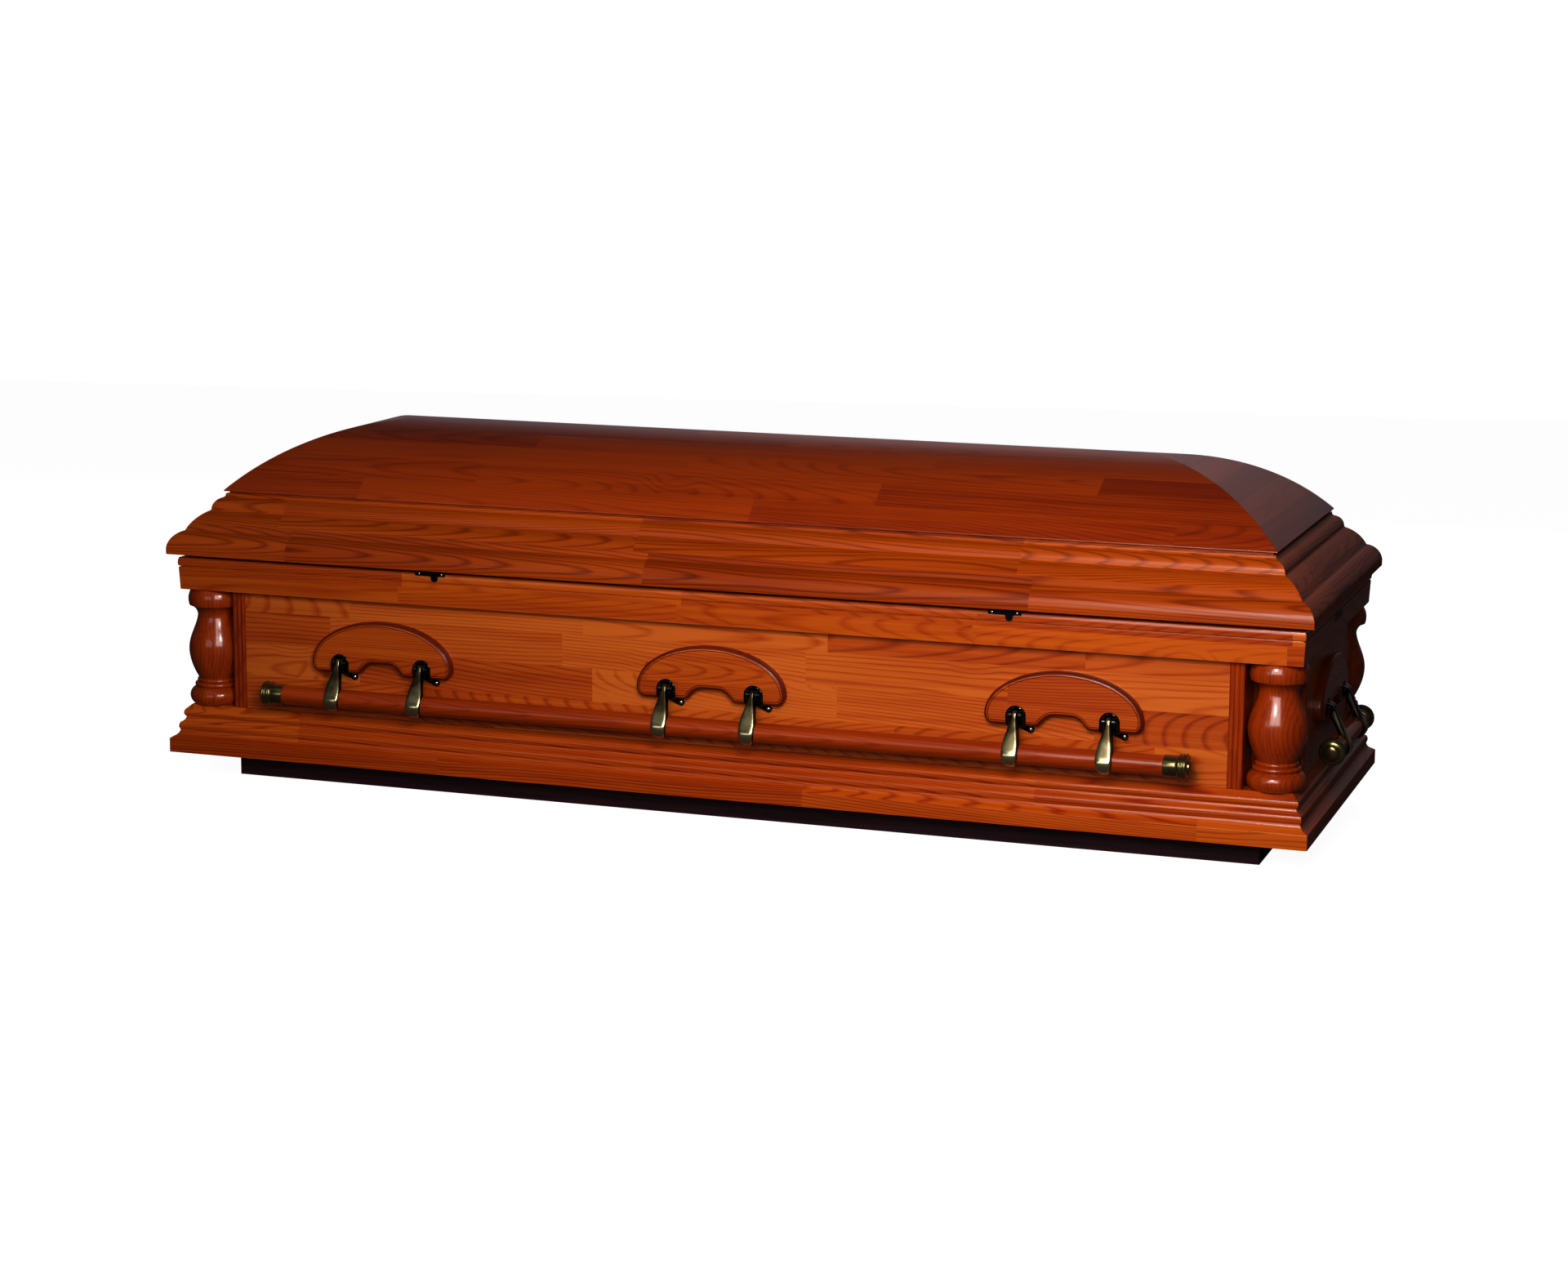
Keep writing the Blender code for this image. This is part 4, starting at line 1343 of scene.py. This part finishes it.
@dataclass
class CastArm:
    """A cast arm from the pivot to the bar: a narrow knuckle that swells to a paddle with a round tip.

    Levels are heights over the pivot in millimetres. The tip starts at the belly, over the bar's axis.
    """

    at: HandlePlace
    knuckle: float = 8.5 * MM
    face: float = 6.1 * MM
    top_width: float = 9.5 * MM
    width: float = 31 * MM
    seat: float = 2 * MM
    tip_drop: float = 1 * MM
    belly_rise: float = 4 * MM
    back_slope: float = 0.60
    eye_taper: float = 0.72
    tip_start: float = 0.72
    levels: tuple[float, ...] = (8.2, 7.2, 5.5, 3, 0, -4, -9, -15, -22, -30, -38, -46, -53, -59, -65, -70.5,
                                 -75.5, -79.5, -82.5, -84.8, -86.4, -87.3)

    def _section(self, level: float) -> Triple:
        """Give one level section of the arm.

        Args:
            level: height over the pivot.

        Returns:
            Half its width, and how far its back and its face lie out from the pivot.
        """
        bar_out, bar_up = self.at.bar_out, self.at.bar_up
        wrap = self.at.bar_radius + self.face
        belly = bar_up + self.belly_rise
        eye = math.sqrt(max(self.knuckle ** 2 - level ** 2, 0.0))
        out, back = eye, -eye
        if level <= 0:
            slope = (bar_out + wrap - self.knuckle) / -bar_up
            under = min((level - bar_up) / wrap, 0.0)
            out = min(self.knuckle - level * slope, bar_out + wrap * math.sqrt(max(1 - under ** 2, 0.0)))
        if level < -self.knuckle / 2:
            back_line = -self.knuckle * 0.4 - (level + self.knuckle) * self.back_slope
            back = max(-eye, min(back_line, bar_out - self.seat))
        if level > belly:
            share = min(max((-level - 2 * MM) / (-belly - 2 * MM), 0.0), 1.0)
            half = (self.top_width + (self.width - self.top_width) * math.sin(share * QUARTER) ** 1.3) / 2
            half *= min(1.0, self.eye_taper + (1 - self.eye_taper) * (self.knuckle - level) / (3 * MM))
        else:
            share = (level - belly) / (bar_up - wrap - self.tip_drop - belly)
            half = self.width / 2 * max(1 - share ** 1.6, 0.02) ** 0.48
            back += (out - back) * 0.45 * max(share - self.tip_start, 0.0) / (1 - self.tip_start)
        return half, back, out

    def model(self, brasses: Sequence[Material]) -> Piece:
        """Shape one arm on the front, with its pivot at X zero.

        Args:
            brasses: the finish of the face, rubbed and with a painted highlight towards the tip, and that of
                the sides, kept near black as painted shade.

        Returns:
            The arm.
        """
        levels = [level * MM for level in self.levels]
        half, back, out = self._section(levels[0])
        arm = disc("arm_model", 40)
        for vertex in arm.data.vertices:
            vertex.co = [math.copysign(abs(value) ** 0.5, value) for value in vertex.co]
        middle, depth = (back + out) / 2, (out - back) / 2
        shape = Matrix.Diagonal((half, depth, 1.0, 1.0))
        settle(arm, Matrix.Translation((0.0, -middle, levels[0])) @ shape)
        start_edit(arm)
        for before, level in zip(levels, levels[1:]):
            new_half, new_back, new_out = self._section(level)
            new_middle, new_depth = (new_back + new_out) / 2, (new_out - new_back) / 2
            extrude((0.0, middle - new_middle, level - before))
            bpy.ops.transform.resize(value=(new_half / half, new_depth / depth, 1.0),
                                     center_override=(0.0, -new_middle, level))
            half, middle, depth = new_half, new_middle, new_depth
        end_edit(arm)
        bar = self.at.bar_radius + SEAT_GAP
        bore = turned("bore", [(bar, -self.width), (bar, self.width)])
        axis = Matrix.Translation((0.0, -self.at.bar_out, self.at.bar_up))
        cut(arm, settle(bore, axis @ Matrix.Rotation(QUARTER, 4, "Y")))
        settle(arm, Matrix.Translation((0.0, -self.at.pivot_outset, self.at.pivot_z)))
        paint(arm, *brasses)
        # Faces turned to the front take the pale brass; the sides, back and top take the near-black brass,
        # which is painted shade.
        for face in arm.data.polygons:
            face.material_index = 0 if face.normal.y < -0.2 and abs(face.normal.x) < 0.8 else 1
        return smooth(arm, 45.0)


@dataclass
class HandleBar:
    """A wooden rod with a brass cap on each end."""

    at: HandlePlace
    cap: float = 48 * MM
    socket: float = 24 * MM
    barrel: float = 19.2 * MM
    flange: float = 23.7 * MM
    button: float = 12.7 * MM
    button_foot: float = 43.6 * MM
    button_rise: float = 4.3 * MM
    chamfer: float = 1 * MM

    def rod(self, name: str, length: float) -> Piece:
        """Turn the rod along X at the middle of the front.

        Args:
            name: its name.
            length: length over both caps.

        Returns:
            The rod.
        """
        half = length / 2 - (self.cap - self.socket) - SEAT_GAP
        left = [(self.at.bar_radius - self.chamfer, -half), (self.at.bar_radius, self.chamfer - half)]
        rod = turned(name, left + [(radius, -along) for radius, along in reversed(left)], 64)
        return smooth(settle(rod, self._axis(0.0, 1)), 35.0)

    def cap_model(self) -> Piece:
        """Turn one cap round Z, its open end at the origin.

        Returns:
            The cap.
        """
        flange, barrel, button = self.flange, self.barrel, self.button
        profile = [(barrel - 1.2 * MM, 0.0), (barrel - 0.3 * MM, 0.3 * MM), (barrel, 1 * MM)]
        profile += [(barrel, 20 * MM)]
        profile += arc((barrel, 20 * MM), (flange - 2.4 * MM, 26 * MM), -0.12, 8)
        profile += arc((flange - 2.4 * MM, 26 * MM), (flange - 1.6 * MM, 29.4 * MM), 0.28, 6)
        profile += [(flange - 2.4 * MM, 29.8 * MM), (flange - 2.2 * MM, 32 * MM)]
        profile += arc((flange - 1.8 * MM, 32.4 * MM), (flange - 1.2 * MM, 35 * MM), 0.20, 6)
        profile += [(flange - 1.8 * MM, 35.4 * MM)]
        profile += arc((flange - 1.2 * MM, 35.8 * MM), (flange - 1.6 * MM, 40 * MM), 0.24, 8)
        profile += [(flange - 3.4 * MM, 41.2 * MM), (flange - 4.2 * MM, 40.2 * MM)]
        profile += arc((flange - 4.4 * MM, 40.2 * MM), (button + 2.2 * MM, 41.4 * MM), -0.05, 5)
        profile += [(button + 1.2 * MM, 40.4 * MM), (button + 0.2 * MM, 40.6 * MM)]
        profile += [(button, self.button_foot)]
        profile += [(button * math.cos(turn) ** 0.8, self.button_foot + self.button_rise * math.sin(turn))
                    for turn in (QUARTER * step / 9 for step in range(1, 9))]
        return smooth(turned("cap_model", profile + [(0.4 * MM, self.cap)], 56), 40.0)

    def _axis(self, shift: float, sign: int) -> Matrix:
        """Lay a turning's Z on the bar's axis, to the right for a sign of one, so far along it."""
        spot = Matrix.Translation((shift, -self.at.bar_outset, FOOT_Z + self.at.bar_level))
        return spot @ Matrix.Rotation(sign * QUARTER, 4, "Y")

    def cap_place(self, length: float, sign: int) -> Matrix:
        """Give the place of the left (-1) or right (1) cap of a bar of some length over its caps."""
        return self._axis(sign * (length / 2 - self.cap), sign)


class Handles:
    """The four swing-bar handles and what carries them."""

    def __init__(self, finishes: Finishes) -> None:
        """Model each repeated part once.

        Args:
            finishes: the casket's materials.
        """
        self.finishes = finishes
        self.at = HandlePlace()
        self.bar = HandleBar(self.at)
        lug = LugPlate(self.at)
        self.models = {
            "lug": lug.model((finishes.lug[True], finishes.lug_edge[True])),
            "bracket": HingeBracket(self.at, lug).model(finishes.black, finishes.screw),
            "arm": CastArm(self.at).model((finishes.arm_brass, finishes.dark_brass)),
            "cap": self.bar.cap_model(),
        }

    def build(self) -> None:
        """Hang a handle on every side and remove the models."""
        for side in Side:
            self._handle(side)
        for model in self.models.values():
            bpy.data.objects.remove(model, do_unlink=True)

    def _handle(self, side: Side) -> None:
        """Make one handle.

        Args:
            side: the side that it hangs on.
        """
        word, turn = side.word, side.place()
        body = word + "_handle"
        caps = [f"cap_{word}_{end}" for end in "ab"]
        axis = 0 if side.is_long else 1
        length = max(high(cap)[axis] for cap in caps) - min(low(cap)[axis] for cap in caps)
        bar_name = "bar_" + word
        rod = settle(self.bar.rod(bar_name + "_rod", length), turn)
        dress(rod, self.finishes.bar[side.is_long], body, [bar_name])
        for name, sign in zip(caps, (-1, 1)):
            cap = copy_to(self.models["cap"], name + "_turned", turn @ self.bar.cap_place(length, sign))
            dress(cap, self.finishes.brass, body, [name])
        for number in ("_1", "_2", "_3") if side.is_long else ("",):
            lug_node = f"lug_{word}{number}"
            middle = turn.inverted() @ ((low(lug_node) + high(lug_node)) / 2)
            self._lug_and_arms(side, number, middle.x)

    def _lug_and_arms(self, side: Side, number: str, middle: float) -> None:
        """Make one lug plate with its two brackets and arms.

        Args:
            side: the side that they are on.
            number: the end of the lug's name.
            middle: how far the lug's middle lies along the side.
        """
        turn, word = side.place(), side.word
        lug_node = f"lug_{word}{number}"
        spot = turn @ Matrix.Translation((middle, 0.0, 0.0))
        plate = copy_to(self.models["lug"], lug_node + "_plate", spot)
        # The face wood, and the darker edge wood that is painted shade, in this side's grain.
        for index, woods in enumerate((self.finishes.lug, self.finishes.lug_edge)):
            plate.data.materials[index] = woods[side.is_long]
        dress(plate, None, nodes=[lug_node])
        for end, sign in (("a", -1), ("b", 1)):
            place = turn @ Matrix.Translation((middle + sign * self.at.arm_spacing / 2, 0.0, 0.0))
            bracket = copy_to(self.models["bracket"], f"bracket_{word}{number}_{end}", place)
            dress(bracket, None, nodes=[lug_node])
            arm_node = f"arm_{word}{number}_{end}"
            arm = copy_to(self.models["arm"], arm_node + "_cast", place)
            dress(arm, None, word + "_handle", [arm_node])


@dataclass
class Catch:
    """A black T-shaped catch in the seam of the lid, with a screw at each end of its bar."""

    bar: float = 6.5 * MM
    tongue: float = 15 * MM
    tongue_taper: float = 0.8
    tongue_bulge: float = -0.08
    shift: float = 8 * MM
    plate: float = 2.5 * MM
    leaf_inset: float = 1 * MM
    screw: float = 2.6 * MM
    screw_inset: float = 7 * MM
    screw_seat: float = 0.6 * MM

    def build(self, node: str, finishes: Finishes) -> None:
        """Make one catch.

        Args:
            node: the node that it stands for.
            finishes: the casket's materials.
        """
        bottom, top = low(node), high(node)
        half, middle = (top.x - bottom.x) / 2, (top.x + bottom.x) / 2
        rise = top.z - bottom.z
        under = rise - self.bar
        wide = self.tongue / 2
        slim, round_z = wide * self.tongue_taper, under * 0.4
        outline = [(-half, under), (self.shift - wide, under)]
        outline += arc((self.shift - wide, under), (self.shift - slim, round_z), self.tongue_bulge, 3)
        outline += oval((self.shift, round_z), (slim, round_z), -2, 0, 10)
        outline += arc((self.shift + slim, round_z), (self.shift + wide, under), self.tongue_bulge, 3)
        outline += [(half, under), (half, rise), (-half, rise)]
        front = facing(middle, bottom.y + self.plate, bottom.z)
        catch = drawn_plate(node + "_plate", outline, front, self.plate)
        inner = half - self.leaf_inset
        leaf = [(-inner, 0.0), (inner, 0.0), (inner, -self.plate), (-inner, -self.plate)]
        start = bottom.y + self.plate / 2
        inwards = Matrix(((1, 0, 0, middle), (0, 0, 1, start), (0, 1, 0, top.z), (0, 0, 0, 1)))
        tail = drawn_plate("tail", leaf, inwards, top.y - start)
        parts = [ease(catch, 0.5 * MM, 38.0), ease(tail, 0.2 * MM, 38.0)]
        for part in parts:
            paint(part, finishes.black)
        head = ScrewHead(self.screw, self.screw / 2, 1 * MM, 0.2 * MM, 5, 16)
        for reach in (self.screw_inset - half, half - self.screw_inset):
            spot = (middle + reach, bottom.y + self.screw_seat, top.z - self.bar / 2)
            parts.append(head.build(Matrix.Translation(spot), finishes.screw))
        dress(joined(node + "_plate", parts), None, nodes=[node])


@dataclass
class EndPlate:
    """A small bare metal plate on the rail of the right end."""

    width: float = 67 * MM
    height: float = 11 * MM
    thickness: float = 1.2 * MM
    corner: float = 2 * MM
    shift: float = -16 * MM
    level: float = 341 * MM

    def build(self, finish: Material) -> None:
        """Make the plate.

        Args:
            finish: its metal.
        """
        across, up = self.width / 2 - self.corner, self.height / 2 - self.corner
        outline = []
        for turn, (sx, sy) in enumerate(((1, -1), (1, 1), (-1, 1), (-1, -1))):
            outline += oval((sx * across, sy * up), (self.corner, self.corner), turn - 1, turn, 3)
        plane = facing(self.shift, -RAIL_OUTSET, FOOT_Z + self.level)
        plate = settle(drawn_plate("end_plate", outline, plane, self.thickness), Side.RIGHT.place())
        dress(ease(plate, 0.3 * MM, 38.0), finish)


class Carcass:
    """Walls, floor and plinth: flat boards whose frame shapes stay and take their finish."""

    def build(self, finishes: Finishes) -> None:
        """Give every board its finish.

        Args:
            finishes: the casket's materials.
        """
        woods = {
            "front_panel": finishes.panel[True], "back_panel": finishes.panel[True],
            "left_end_panel": finishes.panel[False], "right_end_panel": finishes.panel[False],
            "plinth": finishes.plinth, "floor_board": finishes.inside,
        }
        for node, wood in woods.items():
            paint(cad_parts[node], wood)
            LOG.info("%s keeps its frame shape", node)


@dataclass(frozen=True)
class Softbox:
    """A soft studio light: where it stands, the point it faces, its size and its power in watts."""

    name: str
    spot: Triple
    aim: Triple
    size: Point
    power: float
    glossy: bool = True

    def place(self) -> None:
        """Add the light; where it isn't glossy, polished surfaces don't mirror it."""
        data = bpy.data.lights.new(self.name, "AREA")
        data.shape = "RECTANGLE"
        data.size, data.size_y = self.size
        data.energy = self.power
        lamp = bpy.data.objects.new(self.name, data)
        lamp.location = self.spot
        lamp.visible_camera = False
        lamp.visible_glossy = self.glossy
        lamp.rotation_euler = (Vector(self.aim) - Vector(self.spot)).to_track_quat("-Z", "Y").to_euler()
        bpy.context.scene.collection.objects.link(lamp)


@dataclass
class Studio:
    """Paper sweep, soft lights and the camera."""

    azimuth: float = 18.88
    elevation: float = 10.49
    roll: float = 0.47
    focal_pixels: float = 4024.5
    sensor: float = 36.0
    eye: Triple = (1.9591, -5.6635, 1.3969)
    floor_half: float = 16.0
    sweep_radius: float = 3.0
    wall: float = 7.0
    gamma: float = 0.74
    softboxes: tuple[Softbox, ...] = (
        Softbox("key_softbox", (0.8, -2.0, 1.45), (0.45, -0.3, 0.3), (0.42, 0.46), 13.0),
        Softbox("front_softbox", (0.85, -2.5, 1.3), (0.5, 0.0, 0.3), (1.7, 1.2), 47.0),
        Softbox("fill_softbox", (-1.4, -4.4, 1.3), (-0.4, 0.0, 0.3), (2.0, 1.2), 14.0),
        Softbox("ceiling_softbox", (-1.5, -2.5, 3.2), (0.0, 0.0, 0.3), (3.0, 2.0), 6.0),
        Softbox("sweep_softbox", (-4.0, 7.0, 6.0), (-6.0, 19.0, 3.5), (14.0, 4.0), 7000.0, glossy=False),
        Softbox("back_softbox", (-0.4, 3.2, 1.5), (-0.2, 0.0, 0.3), (2.4, 1.2), 50.0, glossy=False),
    )

    def camera(self) -> None:
        """Put the camera where the photograph was taken."""
        data = bpy.data.cameras.new("camera")
        camera = bpy.data.objects.new("camera", data)
        bpy.context.scene.collection.objects.link(camera)
        data.sensor_width = self.sensor
        data.lens = self.focal_pixels * self.sensor / IMAGE_WIDTH
        place = Matrix.Translation(self.eye)
        for angle, axis in ((self.azimuth, "Z"), (90 - self.elevation, "X"), (self.roll, "Z")):
            place = place @ Matrix.Rotation(math.radians(angle), 4, axis)
        camera.matrix_world = place
        bpy.context.scene.camera = camera

    def sweep(self, paper: Material) -> None:
        """Lay the paper on the ground and curve it up far behind the casket.

        Args:
            paper: its finish.
        """
        half = self.floor_half
        bpy.ops.object.select_all(action="DESELECT")
        bpy.ops.mesh.primitive_plane_add(size=2 * half, location=(0.0, 0.0, -SEAT_GAP))
        floor = bpy.context.object
        floor.name = "paper_sweep"
        settle(floor)
        bpy.ops.object.mode_set(mode="EDIT")
        bpy.ops.mesh.select_mode(type="VERT")
        bpy.ops.mesh.select_all(action="DESELECT")
        bpy.ops.object.mode_set(mode="OBJECT")
        for vertex in floor.data.vertices:
            vertex.select = vertex.co.y > 0
        bpy.ops.object.mode_set(mode="EDIT")
        for up, back in quarter_round(self.sweep_radius, 8):
            extrude((0.0, back, up))
        extrude((0.0, 0.0, self.wall))
        bpy.ops.object.mode_set(mode="OBJECT")
        paint(smooth(floor), paper)

    def build(self) -> None:
        """Set up the camera, the paper, the lights and the air round them."""
        scene = bpy.context.scene
        self.camera()
        self.sweep(PaperSweep("studio_paper").build())
        for softbox in self.softboxes:
            softbox.place()
        scene.world = bpy.data.worlds.new("studio_air")
        scene.world.use_nodes = True
        tree = scene.world.node_tree
        seen = add_node(tree, "LightPath").outputs["Is Camera Ray"]
        feed(tree.nodes["Background"], {"Color": linear("#F2F0F6"),
                                        "Strength": remap(tree, seen, 0.0, 1.0, 0.06, 1.1)})
        scene.view_settings.view_transform = "Standard"
        scene.view_settings.gamma = self.gamma


def main() -> None:
    """Build the casket's pieces in order, then the studio."""
    logging.basicConfig(level=logging.INFO, format="%(name)s %(message)s")
    finishes = Finishes()
    Carcass().build(finishes)
    BaseMoulding().build(finishes.base)
    TopRail().build(finishes.rail)
    LidRim().build(finishes.rim)
    Dome().build(finishes.dome)
    CornerPost().build(finishes.post)
    CornerColumn().build(finishes.column)
    Handles(finishes).build()
    for node in ("catch_left", "catch_right"):
        Catch().build(node, finishes)
    EndPlate().build(finishes.plate)
    Studio().build()


if __name__ == "__main__":
    main()
